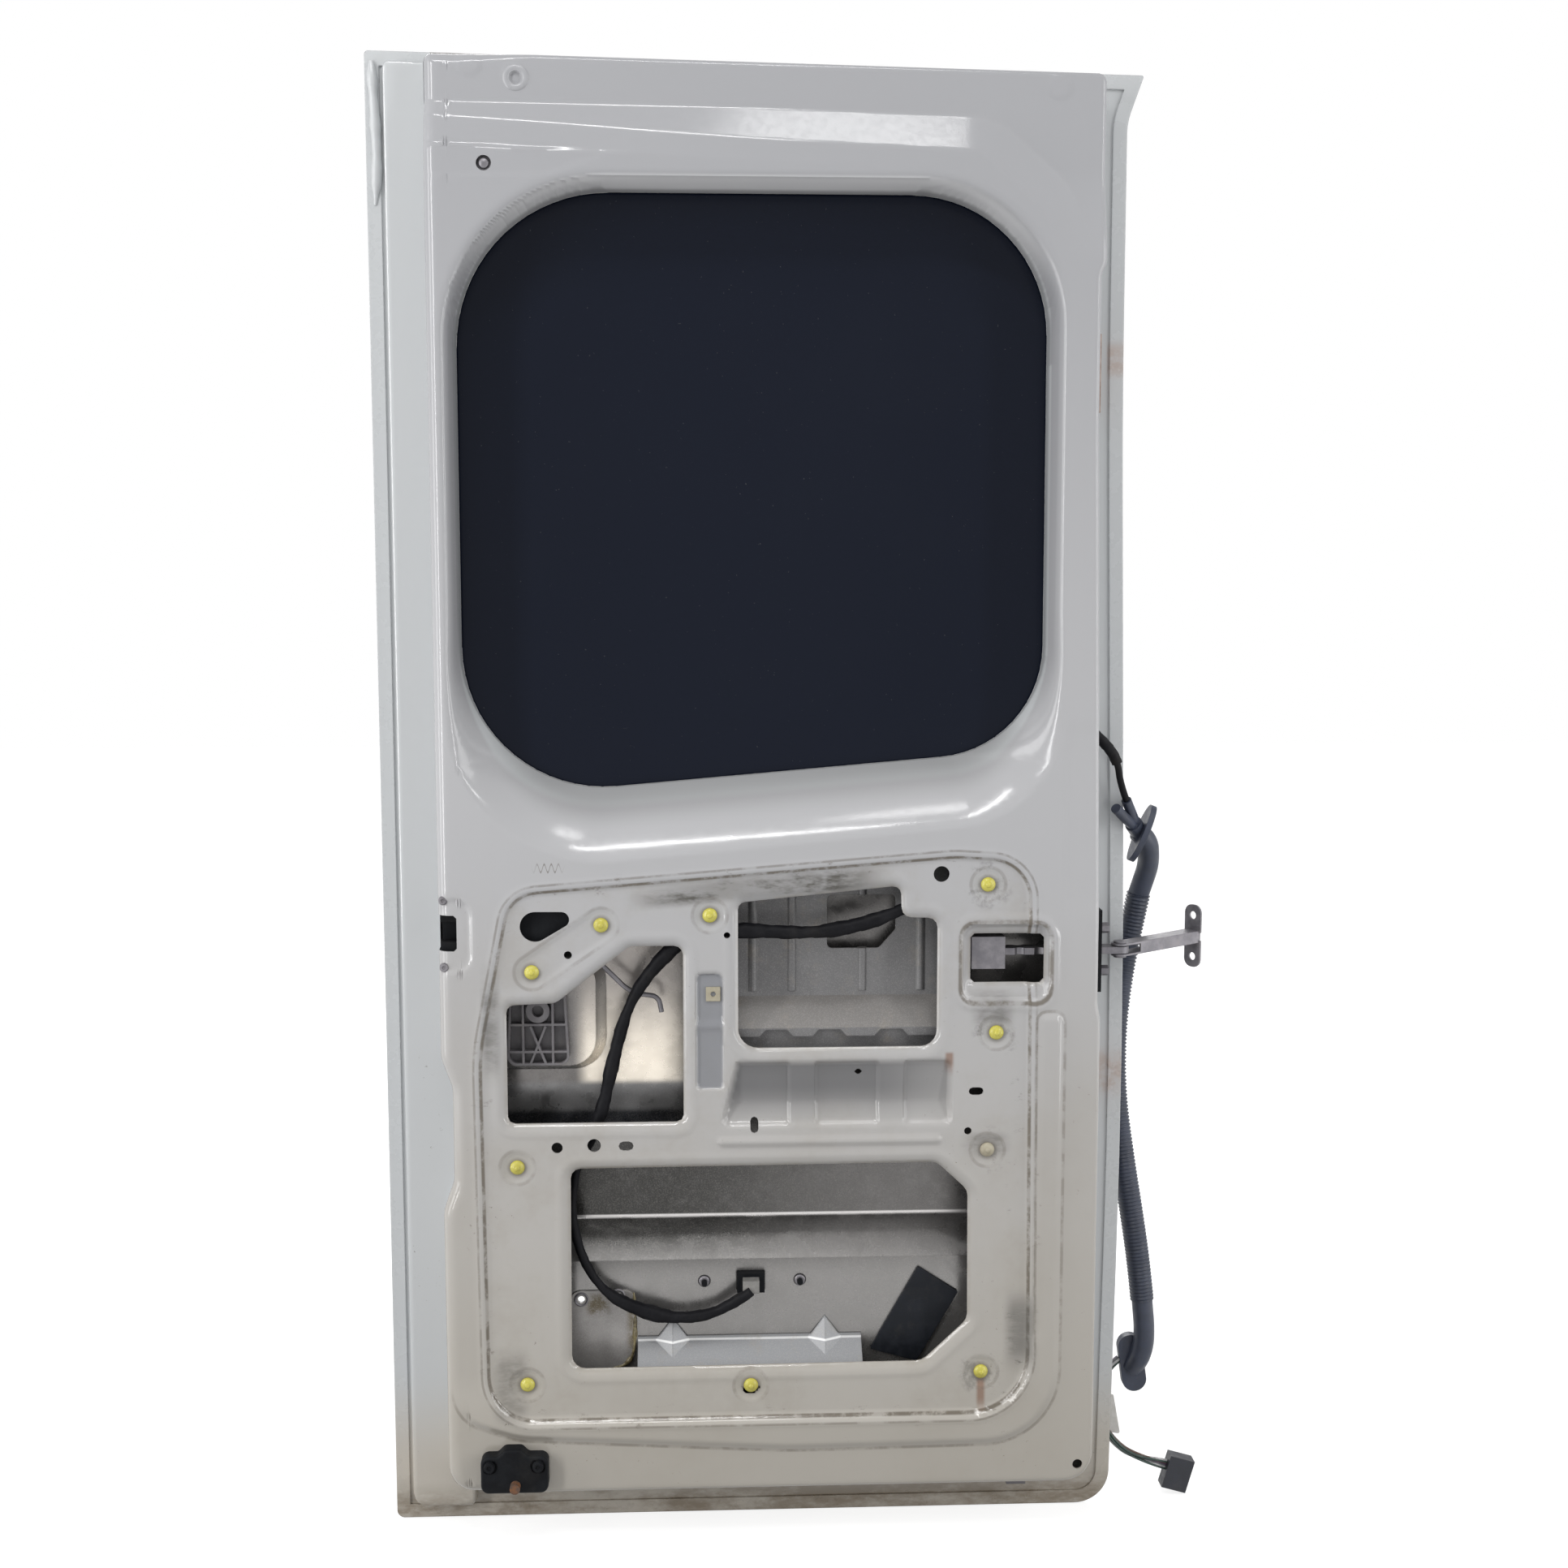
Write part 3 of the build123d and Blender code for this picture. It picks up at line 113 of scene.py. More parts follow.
# Pressed depths and the width of their slopes
HEADER_DEPTH = 16.0
HEADER_WIDTH_AT = [(-640, 15), (-494, 23), (-348, 32), (-150, 36), (-60, 38), (0, 26)]
LOWER_FACET_AT = [(-650, 29), (-475, 24), (-150, 16)]
CREASE_DEPTH_AT = [(-650, 8.5), (-494, 5.5), (-348, 2.5), (-150, 0)]
FACET_STEP_AT = [(-545, 0.4), (-460, 0)]
FACET_SLOPE = (-1.5, 2)
HEADER_FADE = (812, 905)
PAN_ROLL = 4.5
LEFT_ROLL_AT = [(-630, 13.0), (-560, PAN_ROLL)]   # the latch edge rolls over more widely
BORDER_HEIGHT = 4.0
BORDER_SLOPE, BORDER_STOP = (0, 9), (-6, 2)   # inside its own outline, and where the field cuts it off
BORDER_FADE = (-350, -292)
BORDER_FADE_LEFT_OF = -500
LEDGE_ROLL = 3.0
FLARE_POWER_AT = [(330, 1.3), (480, 5.4)]
FLARE_START = 0.05            # share of the flare that is an even slope
CROSS_SECTION = [(-40, 0), (-16, 9), (31, 2)]
CROSS_BAYS = [(-384, -313), (-290, -223), (-200, -150)]
CROSS_SLOPE = (0, 7)
BAY_DEPTH, BAY_SLOPE = 3.5, 4
WINDOW_LINE = (1.2, (-41, -37), (170, 195), (355, 375))   # depth, edge in x, foot and top in z
PILLAR_BEAD = (2.2, 66, 5)    # height, place in z, width
DIMPLE = (2.0, 11, 18)        # depth, radius of its floor and of its rim
TOP_DISC = (0.9, 10, 13)      # height, radius of its top and of its foot
LIP = (8.0, 4.5)
FORMS = [("field", 3.0, -1, 4), ("check", 5.0, 0, 6), ("rib", -3.0, -1, 4), ("pillar", 4.0, 0, 4),
         ("pad", 0.8, 0, 3), ("latch", 2.5, 0, 6)]   # outline, depth, and where its slope starts and ends
BEADS = [("field", 1.0, -5, 3), ("check", 1.5, -5, 4), ("open", 0.8, 11, 3)]   # outline, height, distance, width

# Mesh of the face
ARC_STEP, ARC_SHARE = 4, 0.08   # longest step round a corner: a length and a share of the radius
GRID = 2.5
GRID_STEPS = [(8, -1), (4, 0.01), (2, 0.05), (1, 0.16)]   # every so many points where the sheet bends more than this
GRID_X, GRID_Z = (-722, 36), (-468, 1018)
ON_EDGE = 0.1                 # a point counts as on an outline up to this far outside it
WALL_TOP = 0.5                # reach of the row of points half way down the pan's wall
RIM_INSET = 2.4
PAN_ROWS = (0.0, 0.35, 1.2, 2.6, PAN_ROLL, -0.3, -0.9)   # insets of the rows of points along a rolled edge
LEDGE_ROWS = (-0.6, 0.0, 1.0, LEDGE_ROLL)
ROW_CLEAR = (-4, 1.5)         # no grid points from here outside a rolled edge to here beyond its roll
HOLE_CLEAR = 1.2
RETURN_DEPTH = 2.0
KEPT_DISTANCES = ("field", "clip", "open", "mouth", "check", "border", "dimple", "cross", "pillar", "aperture")


# Outline helpers

def directions(corners, i):
    """Unit directions from a corner to the one before it and to the one after it."""
    here = Vector(corners[i][:2])
    return [(Vector(corners[k % len(corners)][:2]) - here).normalized() for k in (i - 1, i + 1)]


def grown(corners, grow):
    """Corners moved outwards by grow, each corner radius following."""
    moved = []
    for i, (x, z, radius) in enumerate(corners):
        before, after = directions(corners, i)
        out_before = Vector((-before.y, before.x))
        out_after = Vector((after.y, -after.x))
        shift = (out_before + out_after) * (grow / (1 + out_before.dot(out_after)))
        turn = before.y * after.x - before.x * after.y
        follow = radius + (grow if turn > 0 else -grow)
        moved.append((x + shift.x, z + shift.y, max(follow, 0.4) if radius else 0))
    return moved


def corner_arc(placed, i, base_radius, spacing):
    """Points round one corner of an outline; how many goes by its radius before the outline was grown."""
    here, radius = Vector(placed[i][:2]), placed[i][2]
    if radius == 0:
        return [here]
    before, after = directions(placed, i)
    turn = math.pi - before.angle(after)
    side = 1 if before.x * after.y - before.y * after.x > 0 else -1
    start = here + before * radius * math.tan(turn / 2)
    arm = Vector((before.y, -before.x)) * side * radius
    step = min(spacing, ARC_STEP + ARC_SHARE * base_radius)
    steps = max(1, round(base_radius * turn / step))
    return [start - arm + Matrix.Rotation(-side * turn * k / steps, 2) @ arm for k in range(steps + 1)]


def rounded(corners, spacing=12.0, grow=0.0):
    """Closed polyline of an outline with its corners rounded; straight runs are divided by spacing."""
    placed = grown(corners, grow) if grow else corners
    arcs = [corner_arc(placed, i, corners[i][2], spacing) for i in range(len(corners))]
    loop = []
    for i, arc in enumerate(arcs):
        following = (i + 1) % len(arcs)
        run = (Vector(corners[following][:2]) - Vector(corners[i][:2])).length
        pieces = max(1, round(run / spacing))
        loop += arc + [arc[-1].lerp(arcs[following][0], k / pieces) for k in range(1, pieces)]
    return np.array([(p.x, p.y) for p in loop])


def circle(x, z, radius, count=20):
    """Closed polyline of a round hole."""
    angles = np.arange(count) * 2 * math.pi / count
    return np.column_stack((x + radius * np.cos(angles), z + radius * np.sin(angles)))


def slot_outline(x, z, width, height):
    """Corners of a slot with round ends, which are a little under half as wide so that no side is lost."""
    end = 0.49 * min(width, height)
    w, h = width / 2, height / 2
    return [(x - w, z - h, end), (x + w, z - h, end), (x + w, z + h, end), (x - w, z + h, end)]


def keyhole_outline():
    """Closed polyline round a large and a small hole that run together."""
    (x0, z0, r0), (x1, z1, r1) = KEYHOLE
    lean = math.atan2(z1 - z0, x1 - x0)
    opening = math.acos((r0 - r1) / math.hypot(x1 - x0, z1 - z0))
    large = np.linspace(lean + opening, lean + 2 * math.pi - opening, 24)
    small = np.linspace(lean - opening, lean + opening, 12)
    return np.vstack((np.column_stack((x0 + r0 * np.cos(large), z0 + r0 * np.sin(large))),
                      np.column_stack((x1 + r1 * np.cos(small), z1 + r1 * np.sin(small)))))


def beside(x, z, a, b):
    """Squared distance of points from the line between two others."""
    (ax, az), (bx, bz) = a, b
    dx, dz = bx - ax, bz - az
    along = np.clip(((x - ax) * dx + (z - az) * dz) / (dx * dx + dz * dz), 0, 1)
    return (x - ax - along * dx) ** 2 + (z - az - along * dz) ** 2


def distance_inside(points, loop):
    """Distance of each point from a closed polyline, positive inside it."""
    nearest = np.full(len(points), 1e9)
    inside = np.zeros(len(points), bool)
    x, z = points[:, 0], points[:, 1]
    for a, b in zip(loop, np.roll(loop, -1, axis=0)):
        if (a == b).all():
            continue
        nearest = np.minimum(nearest, beside(x, z, a, b))
        if a[1] != b[1]:
            inside ^= ((a[1] > z) != (b[1] > z)) & (x < (b[0] - a[0]) * (z - a[1]) / (b[1] - a[1]) + a[0])
    return np.where(inside, 1, -1) * np.sqrt(nearest)


def looked_up(table, place_at):
    """Value between the rows of a table of (place, value)."""
    return np.interp(place_at, *zip(*table))


def smooth(value, low, high):
    """0 below low, 1 above high, a smooth step between."""
    share = np.clip((value - low) / (high - low), 0, 1)
    return share * share * (3 - 2 * share)


def bead(distance, middle, width):
    """Soft ridge of height 1 at one distance."""
    return np.exp(-((distance - middle) / width) ** 2)


def rolled(inset, radius):
    """Depth of a rounded edge at a distance inside it."""
    inset = np.clip(inset, 0, radius)
    return radius - np.sqrt(np.maximum(radius ** 2 - (radius - inset) ** 2, 0))


# Pressed inner face

class Pressing:
    """Depth of the pressed face at any (x, z), and the distances that its dirt follows."""

    def __init__(self):
        names = {"pan": PAN, "ledge": LEDGE, "aperture": APERTURE, "mouth": MOUTH, "ridge": RIDGE, "field": FIELD,
                 "border": BORDER, "check": CHECK_PAN, "cross": CROSS_PAN, "rib": RIB_BAR, "pillar": PILLAR,
                 "pad": CORNER_PAD, "latch": LATCH_PAN}
        self.loops = {name: rounded(corners) for name, corners in names.items()}
        self.openings = [rounded(corners) for corners in OPENINGS]

    def distances(self, points):
        """Distance inside each outline, outside the openings, and from the clips and their dimples."""
        found = {name: distance_inside(points, loop) for name, loop in self.loops.items()}
        found["open"] = np.min([-distance_inside(points, loop) for loop in self.openings], axis=0)
        x, z = points[:, 0], points[:, 1]
        found["clip"] = np.min([np.hypot(x - cx, z - cz) for cx, cz in CLIPS + [PALE_CLIP]], axis=0)
        found["dimple"] = np.minimum(found["clip"], np.sqrt(beside(x, z, *CLIPS[:2])))
        return found

    def header(self, points, d):
        """Set-back band along the top. Its shoulder has two facets that meet in a slanting crease."""
        x, z = points[:, 0], points[:, 1]
        width = looked_up(HEADER_WIDTH_AT, x)
        lower = looked_up(LOWER_FACET_AT, x)
        crease = looked_up(CREASE_DEPTH_AT, x)
        step = looked_up(FACET_STEP_AT, x)
        above = d["ridge"] + width
        upper_share = np.clip(above / width, 0, 1)
        lower_share = np.clip(1 + above / lower, 0, 1)
        facet = crease * ((1 - step) * lower_share + step * smooth(above + lower, *FACET_SLOPE))
        return smooth(z, *HEADER_FADE) * (facet + (HEADER_DEPTH - crease) * upper_share)

    def window(self, points, d):
        """Flare from the mouth to the glass: an even slope at the sill, steep only near the glass elsewhere."""
        share = -d["mouth"] / np.minimum(-1e-3, -d["mouth"] + d["aperture"])
        share = np.clip(share, 0, 1)
        power = looked_up(FLARE_POWER_AT, points[:, 1])
        return (REBATE_Y - FACE_Y) * (FLARE_START * share + (1 - FLARE_START) * share ** power)

    def cross_pan(self, points, d):
        """Recess below the right opening that leans back downwards, with two beads."""
        x, z = points[:, 0], points[:, 1]
        depth = looked_up(CROSS_SECTION, z)
        for low, high in CROSS_BAYS:
            depth = depth + BAY_DEPTH * smooth(x, low, low + BAY_SLOPE) * (1 - smooth(x, high - BAY_SLOPE, high))
        return depth * smooth(d["cross"], *CROSS_SLOPE)

    def border(self, points, d):
        """Raised band round the foot of the trim field, which fades out at its upper left end."""
        fade = np.where(points[:, 0] < BORDER_FADE_LEFT_OF, 1 - smooth(points[:, 1], *BORDER_FADE), 1)
        return -BORDER_HEIGHT * smooth(d["border"], *BORDER_SLOPE) * (1 - smooth(d["field"], *BORDER_STOP)) * fade

    def details(self, points, d):
        """Line beside the window, bead across the pillar, clip dimples, header discs and turned lips."""
        x, z = points[:, 0], points[:, 1]
        depth, side, foot, top = WINDOW_LINE
        y = depth * smooth(x, *side) * smooth(z, *foot) * (1 - smooth(z, *top))
        height, *ridge = PILLAR_BEAD
        y -= height * bead(z, *ridge) * smooth(d["pillar"], 0, 4)
        depth, *radii = DIMPLE
        y += depth * (1 - smooth(d["dimple"], *radii))
        height, *radii = TOP_DISC
        for disc_x, disc_z in TOP_DISCS:
            y -= height * (1 - smooth(np.hypot(x - disc_x, z - disc_z), *radii))
        reach, drop = LIP
        return y + drop * np.clip(1 - np.maximum(d["open"], 0) / reach, 0, 1) ** 2

    def edged(self, y, points, d):
        """The sheet with its rolled edge, and beyond it the seal ledge and the flange."""
        y = y + rolled(d["pan"], looked_up(LEFT_ROLL_AT, points[:, 0]))
        ledge = LEDGE_Y + rolled(d["ledge"], LEDGE_ROLL)
        low = np.where(d["ledge"] > -ON_EDGE, ledge, FLANGE_Y)
        return np.where(d["pan"] > -ON_EDGE, y, np.where(d["pan"] > -WALL_TOP, NOTCH_Y, low))

    def depth(self, points):
        """Depth y of the sheet, and the distances it came from."""
        d = self.distances(points)
        y = FACE_Y + self.header(points, d) + self.window(points, d)
        y += self.border(points, d) + self.cross_pan(points, d) + self.details(points, d)
        for name, depth, low, high in FORMS:
            y += depth * smooth(d[name], low, high)
        for name, height, middle, width in BEADS:
            y -= height * bead(d[name], middle, width)
        return self.edged(y, points, d), d


def sheet_loops():
    """Closed polylines that the face mesh follows: (loop, is a hole)."""
    loops = [(rounded(RIM, grow=-RIM_INSET), False)]
    loops += [(rounded(PAN, spacing=5, grow=-inset), False) for inset in PAN_ROWS]
    loops += [(rounded(LEDGE, grow=-inset), False) for inset in LEDGE_ROWS]
    loops.append((rounded(APERTURE, spacing=8), True))
    loops += [(rounded(corners, spacing=5), True) for corners in OPENINGS]
    loops += [(circle(x, z, radius), True) for x, z, radius in ROUND_HOLES]
    loops += [(rounded(slot_outline(*slot), spacing=4), True) for slot in SLOT_HOLES]
    loops.append((keyhole_outline(), True))
    return loops


def grid_points(pressing):
    """Points of a grid that is fine where the sheet bends and coarse where it is flat."""
    xs, zs = np.arange(*GRID_X, GRID), np.arange(*GRID_Z, GRID)
    points = np.array(np.meshgrid(xs, zs, indexing="ij")).reshape(2, -1).T
    y, d = pressing.depth(points)
    sheet = y.reshape(len(xs), len(zs))
    bend = np.zeros_like(sheet)
    bend[1:-1, 1:-1] = (np.abs(sheet[2:, 1:-1] + sheet[:-2, 1:-1] - 2 * sheet[1:-1, 1:-1])
                        + np.abs(sheet[1:-1, 2:] + sheet[1:-1, :-2] - 2 * sheet[1:-1, 1:-1]))
    wide = bend.copy()
    for axis in (0, 1):
        for step in (1, 2, -1, -2):
            wide = np.maximum(wide, np.roll(bend, step, axis))
    i, k = np.meshgrid(np.arange(len(xs)), np.arange(len(zs)), indexing="ij")
    keep = np.zeros(wide.shape, bool)
    for step, bent in GRID_STEPS:
        keep |= (i % step == 0) & (k % step == 0) & (wide > bent)
    keep = keep.reshape(-1)
    before, beyond = ROW_CLEAR
    keep &= ~((d["pan"] > before) & (d["pan"] < PAN_ROLL + beyond))
    keep &= ~((d["ledge"] > before) & (d["ledge"] < LEDGE_ROLL + beyond) & (d["pan"] < 0))
    keep &= (d["aperture"] < -HOLE_CLEAR) & (d["open"] > HOLE_CLEAR)
    return points[keep]


def pressed_face():
    """Inner face of the door as one pressed sheet, with turned edges at its openings."""
    pressing = Pressing()
    points = list(grid_points(pressing))
    notch = rounded(LATCH_NOTCH, spacing=4)
    loops = sheet_loops()
    edges = []
    for loop, _ in loops + [(notch, False)]:
        first, count = len(points), len(loop)
        points.extend(loop)
        edges += [(first + k, first + (k + 1) % count) for k in range(count)]
    flat = [Vector((float(x), float(z))) for x, z in points]
    verts, _, faces, _, _, _ = delaunay_2d_cdt(flat, edges, [], 1, 1e-3)
    verts = np.array([(v.x, v.y) for v in verts])
    faces = np.array([f for f in faces if len(f) == 3])
    middle = verts[faces].mean(axis=1)
    keep = distance_inside(middle, rounded(RIM, grow=-RIM_INSET)) > 0
    for loop, is_hole in loops:
        if is_hole:
            keep &= distance_inside(middle, loop) < 0
    keep &= ~((distance_inside(middle, notch) > 0) & (distance_inside(middle, pressing.loops["pan"]) > -0.3))
    y, d = pressing.depth(verts)
    mesh = bpy.data.meshes.new("pressed_face")
    coordinates = np.column_stack((verts[:, 0], y, verts[:, 1])) * MM
    mesh.from_pydata(coordinates.tolist(), [], faces[keep].tolist())
    for name in KEPT_DISTANCES:
        kept = mesh.attributes.new(name + "_d", "FLOAT", "POINT")
        kept.data.foreach_set("value", d[name].astype(np.float32))
    return turned_edges(mesh)


def turned_edges(mesh):
    """Give the edges of a sheet a short return, and face it towards the camera side."""
    bm = bmesh.new()
    bm.from_mesh(mesh)
    bmesh.ops.delete(bm, geom=[v for v in bm.verts if not v.link_faces], context="VERTS")
    for face in bm.faces:
        if face.normal.y > 0:
            face.normal_flip()
    rim = [e for e in bm.edges if e.is_boundary]
    made = bmesh.ops.extrude_edge_only(bm, edges=rim)["geom"]
    for v in made:
        if isinstance(v, bmesh.types.BMVert):
            v.co.y += RETURN_DEPTH * MM
    shade(bm, 38)
    bm.to_mesh(mesh)
    bm.free()
    return place("pressed_face", mesh, "door", "panel_paint")


# Mesh helpers

def place(name, mesh, body, slot):
    """Object of a mesh that rides on a body."""
    piece = bpy.data.objects.new(name, mesh)
    bpy.context.scene.collection.objects.link(piece)
    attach(piece, body)
    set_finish(piece, slot)
    return piece


def shade(bm, sharp):
    """Smooth shading but for edges sharper than an angle in degrees."""
    for face in bm.faces:
        face.smooth = True
    for edge in bm.edges:
        edge.smooth = len(edge.link_faces) == 2 and edge.calc_face_angle(0) < math.radians(sharp)


def finish_mesh(bm, name, sharp=35):
    """Mesh of a bmesh with its faces turned outwards and shaded."""
    bmesh.ops.recalc_face_normals(bm, faces=bm.faces)
    shade(bm, sharp)
    mesh = bpy.data.meshes.new(name)
    bm.to_mesh(mesh)
    bm.free()
    return mesh


def lathe(bm, profile, origin, axis, segments=24):
    """Add a turned form: profile of (radius, height) along axis from origin, millimetres."""
    turn = Vector((0, 0, 1)).rotation_difference(Vector(axis)).to_matrix()
    rings = []
    for radius, height in profile:
        ring = []
        count = 1 if radius == 0 else segments
        for k in range(count):
            angle = 2 * math.pi * k / segments
            local = Vector((radius * math.cos(angle), radius * math.sin(angle), height))
            ring.append(bm.verts.new((Vector(origin) + turn @ local) * MM))
        rings.append(ring)
    for low, high in zip(rings, rings[1:]):
        join_rings(bm, low, high)


def join_rings(bm, low, high):
    """Faces between two closed rings of vertices, either of which may be a single point."""
    count = max(len(low), len(high))
    for k in range(count):
        corners = [low[k % len(low)], low[(k + 1) % len(low)], high[(k + 1) % len(high)], high[k % len(high)]]
        unique = list(dict.fromkeys(corners))
        if len(unique) > 2:
            bm.faces.new(unique)


def spline_points(name, route):
    """Points in metres along a smooth spline whose control points are the route."""
    curve = bpy.data.curves.new(name + "_line", "CURVE")
    curve.dimensions = "3D"
    spline = curve.splines.new("NURBS")
    spline.points.add(len(route) - 1)
    for point, place_at in zip(spline.points, route):
        point.co = (*(c * MM for c in place_at), 1)
    spline.order_u = 3
    spline.use_endpoint_u = True
    spline.resolution_u = 16
    line = bpy.data.objects.new(name + "_line", curve)
    mesh = bpy.data.meshes.new_from_object(line)
    points = [v.co.copy() for v in mesh.vertices]
    bpy.data.objects.remove(line)
    bpy.data.meshes.remove(mesh)
    bpy.data.curves.remove(curve)
    return points


def even_points(points, spacing):
    """Points at an even spacing along a line of points, and their distance along it."""
    steps = [0.0]
    for a, b in zip(points, points[1:]):
        steps.append(steps[-1] + (b - a).length)
    count = max(2, round(steps[-1] / spacing))
    wanted = np.linspace(0, steps[-1], count + 1)
    columns = [np.interp(wanted, steps, [p[k] for p in points]) for k in range(3)]
    return [Vector(p) for p in zip(*columns)], wanted


def frames_along(points):
    """Two cross directions at each point of a line, without twist."""
    tangents = []
    for i in range(len(points)):
        ahead = points[min(i + 1, len(points) - 1)]
        behind = points[max(i - 1, 0)]
        tangents.append((ahead - behind).normalized())
    side = tangents[0].orthogonal().normalized()
    frames = []
    for tangent in tangents:
        side = (side - tangent * side.dot(tangent)).normalized()
        frames.append((side, tangent.cross(side)))
    return frames


def sweep(bm, points, distances, radius_at, sides=16):
    """Add a tube along points; radius_at(distance, angle) gives its radius in metres."""
    frames = frames_along(points)
    rings = []
    for point, s, (u, v) in zip(points, distances, frames):
        ring = []
        for k in range(sides):
            angle = 2 * math.pi * k / sides
            radius = radius_at(s, angle)
            ring.append(bm.verts.new(point + u * radius * math.cos(angle) + v * radius * math.sin(angle)))
        rings.append(ring)
    for low, high in zip(rings, rings[1:]):
        join_rings(bm, low, high)
    bm.faces.new(rings[0])
    bm.faces.new(rings[-1])


def tube(name, points, distances, radius_at, slot, sides=16, sharp=60):
    """Tube along points as a piece on the door."""
    bm = bmesh.new()
    sweep(bm, points, distances, radius_at, sides)
    return place(name, finish_mesh(bm, name, sharp), "door", slot)


# Materials

class Shader:
    """Node tree of one procedural material, with short calls for its nodes."""

    def __init__(self, name, roughness, metallic=0.0, specular=0.5):
        self.material = bpy.data.materials.new(name)
        self.material.use_nodes = True
        self.tree = self.material.node_tree
        self.bsdf = self.tree.nodes["Principled BSDF"]
        for socket, number in (("Roughness", roughness), ("Metallic", metallic), ("Specular IOR Level", specular)):
            self.bsdf.inputs[socket].default_value = number
        coordinates = self.node("TexCoord").outputs
        self.place = coordinates["Object"]
        self.x, self.y, self.z = self.node("SeparateXYZ", Vector=self.place).outputs
        self.normal = self.node("SeparateXYZ", Vector=coordinates["Normal"]).outputs

    def node(self, kind, **inputs):
        """New node, with its inputs by name: each a constant or another node's socket."""
        node = self.tree.nodes.new("ShaderNode" + kind)
        for name, source in inputs.items():
            self.link(source, node.inputs[name])
        return node

    def link(self, source, socket):
        """Join a socket to another, or give it a constant."""
        if hasattr(source, "is_linked"):
            self.tree.links.new(source, socket)
        else:
            socket.default_value = source

    def math(self, operation, a, b=0.0):
        node = self.node("Math")
        node.operation = operation
        self.link(a, node.inputs[0])
        self.link(b, node.inputs[1])
        return node.outputs[0]

    def noise(self, scale, detail=4.0, roughness=0.6, stretch=(1, 1, 1)):
        place_at = self.node("Mapping", Vector=self.place, Scale=stretch).outputs[0]
        return self.node("TexNoise", Vector=place_at, Scale=scale, Detail=detail, Roughness=roughness).outputs[0]

    def cells(self, scale):
        """A random grey for each small cell."""
        colour = self.node("TexVoronoi", Vector=self.place, Scale=scale).outputs["Color"]
        return self.node("SeparateXYZ", Vector=colour).outputs[0]

    def inset(self, name):
        """Distance inside an outline of the pressed face, in millimetres."""
        node = self.node("Attribute")
        node.attribute_name = name + "_d"
        return node.outputs["Fac"]

    def step(self, value, low, high, start=0.0, end=1.0):
        """Smooth step of a value from start to end."""
        ends = zip(("From Min", "From Max", "To Min", "To Max"), (low, high, start, end))
        node = self.node("MapRange", Value=value, **dict(ends))
        node.interpolation_type = "SMOOTHSTEP"
        return node.outputs["Result"]

    def near(self, value, middle, width):
        """1 where a value is close to middle, 0 further off than width."""
        return self.step(self.math("ABSOLUTE", self.math("SUBTRACT", value, middle)), 0.3 * width, width, 1.0, 0.0)

    def both(self, *values):
        """Product of values, so that all of them have to hold."""
        product = values[0]
        for value in values[1:]:
            product = self.math("MULTIPLY", product, value)
        return product

    def mix(self, amount, first, second):
        node = self.node("Mix")
        node.data_type = "RGBA"
        self.link(amount, node.inputs["Factor"])
        for colour, socket in ((first, node.inputs[6]), (second, node.inputs[7])):
            self.link((*colour, 1.0) if isinstance(colour, tuple) else colour, socket)
        return node.outputs[2]

    def over(self, tone, colour, *amounts):
        """A colour laid over a tone where all the amounts say so."""
        return self.mix(self.both(*amounts), tone, colour)

    def colour(self, source):
        self.link(source, self.bsdf.inputs["Base Color"])

    def roughness(self, source):
        self.link(source, self.bsdf.inputs["Roughness"])

    def finish(self, tone, grain, strength, distance, edge=0.0):
        """The material with its colour and a fine relief of noise, on edges rounded by a radius in metres."""
        self.colour(tone)
        node = self.node("Bump", Height=self.noise(*grain), Strength=strength, Distance=distance)
        if edge:
            bevel = self.node("Bevel", Radius=edge)
            bevel.samples = 4
            self.link(bevel.outputs[0], node.inputs["Normal"])
        self.link(node.outputs[0], self.bsdf.inputs["Normal"])
        return self.material


# Tones of the white paint by height, which also make a painted gradient of light and shade
WHITE_FOOT, WHITE_WAIST, WHITE_TOP = (0.44, 0.415, 0.375), (0.435, 0.435, 0.447), (0.335, 0.338, 0.355)
# Paler tones of the seal channel and the flange: painted light
CHANNEL_LIGHT_FOOT, CHANNEL_LIGHT_WHITE = (0.50, 0.465, 0.41), (0.515, 0.53, 0.54)
FOOT_GRIME = (0.17, 0.13, 0.085)
# Painted shade in the cross pan
PAN_SHADE = (0.125, 0.125, 0.13)
# Painted shade in the pillar's recess
PILLAR_SHADE = (0.19, 0.20, 0.225)
# Painted shade on the flare by the glass
FLARE_SHADE = (0.16, 0.158, 0.16)
# Painted light on the top of the flare by the glass, and a dark seam at the glass, partly dirty seal and partly
# painted shade
FLARE_TOP_LIGHT, GLASS_SEAM_AND_SHADE = (0.74, 0.74, 0.75), (0.12, 0.12, 0.125)
DIRT = (0.11, 0.09, 0.065)
PALE_DIRT = (0.30, 0.265, 0.21)
RUST = (0.20, 0.085, 0.035)
STAIN = (0.44, 0.375, 0.345)
SMEAR = (0.085, 0.08, 0.07)
SMUDGES = [((-0.110, 0.080), (0.026, 0.024)), ((-0.078, -0.255), (0.020, 0.050)), ((-0.597, -0.305), (0.022, 0.045)),
           ((-0.116, -0.060), (0.030, 0.016)), ((-0.612, 0.070), (0.012, 0.070))]
RUST_RUNS = [(-0.118, -0.306, -0.345), (-0.1535, 0.036, 0.008)]   # place, top and foot
SEAT_MARKS = [(0.0, 0.031), (0.728, 0.022)]   # height of the marks the hinges left, and half their length


def hinge_marks(s):
    """Where the absent hinges rubbed and stained the flange."""
    on_flange = s.both(s.step(s.x, 0.004, 0.008), s.step(s.y, 0.012, 0.018))
    patchy = s.step(s.noise(60.0, 4.0, 0.7), 0.36, 0.6, 0.35, 0.9)
    marks = [s.near(s.z, middle, reach) for middle, reach in SEAT_MARKS]
    return s.both(s.math("MAXIMUM", *marks), on_flange, patchy)


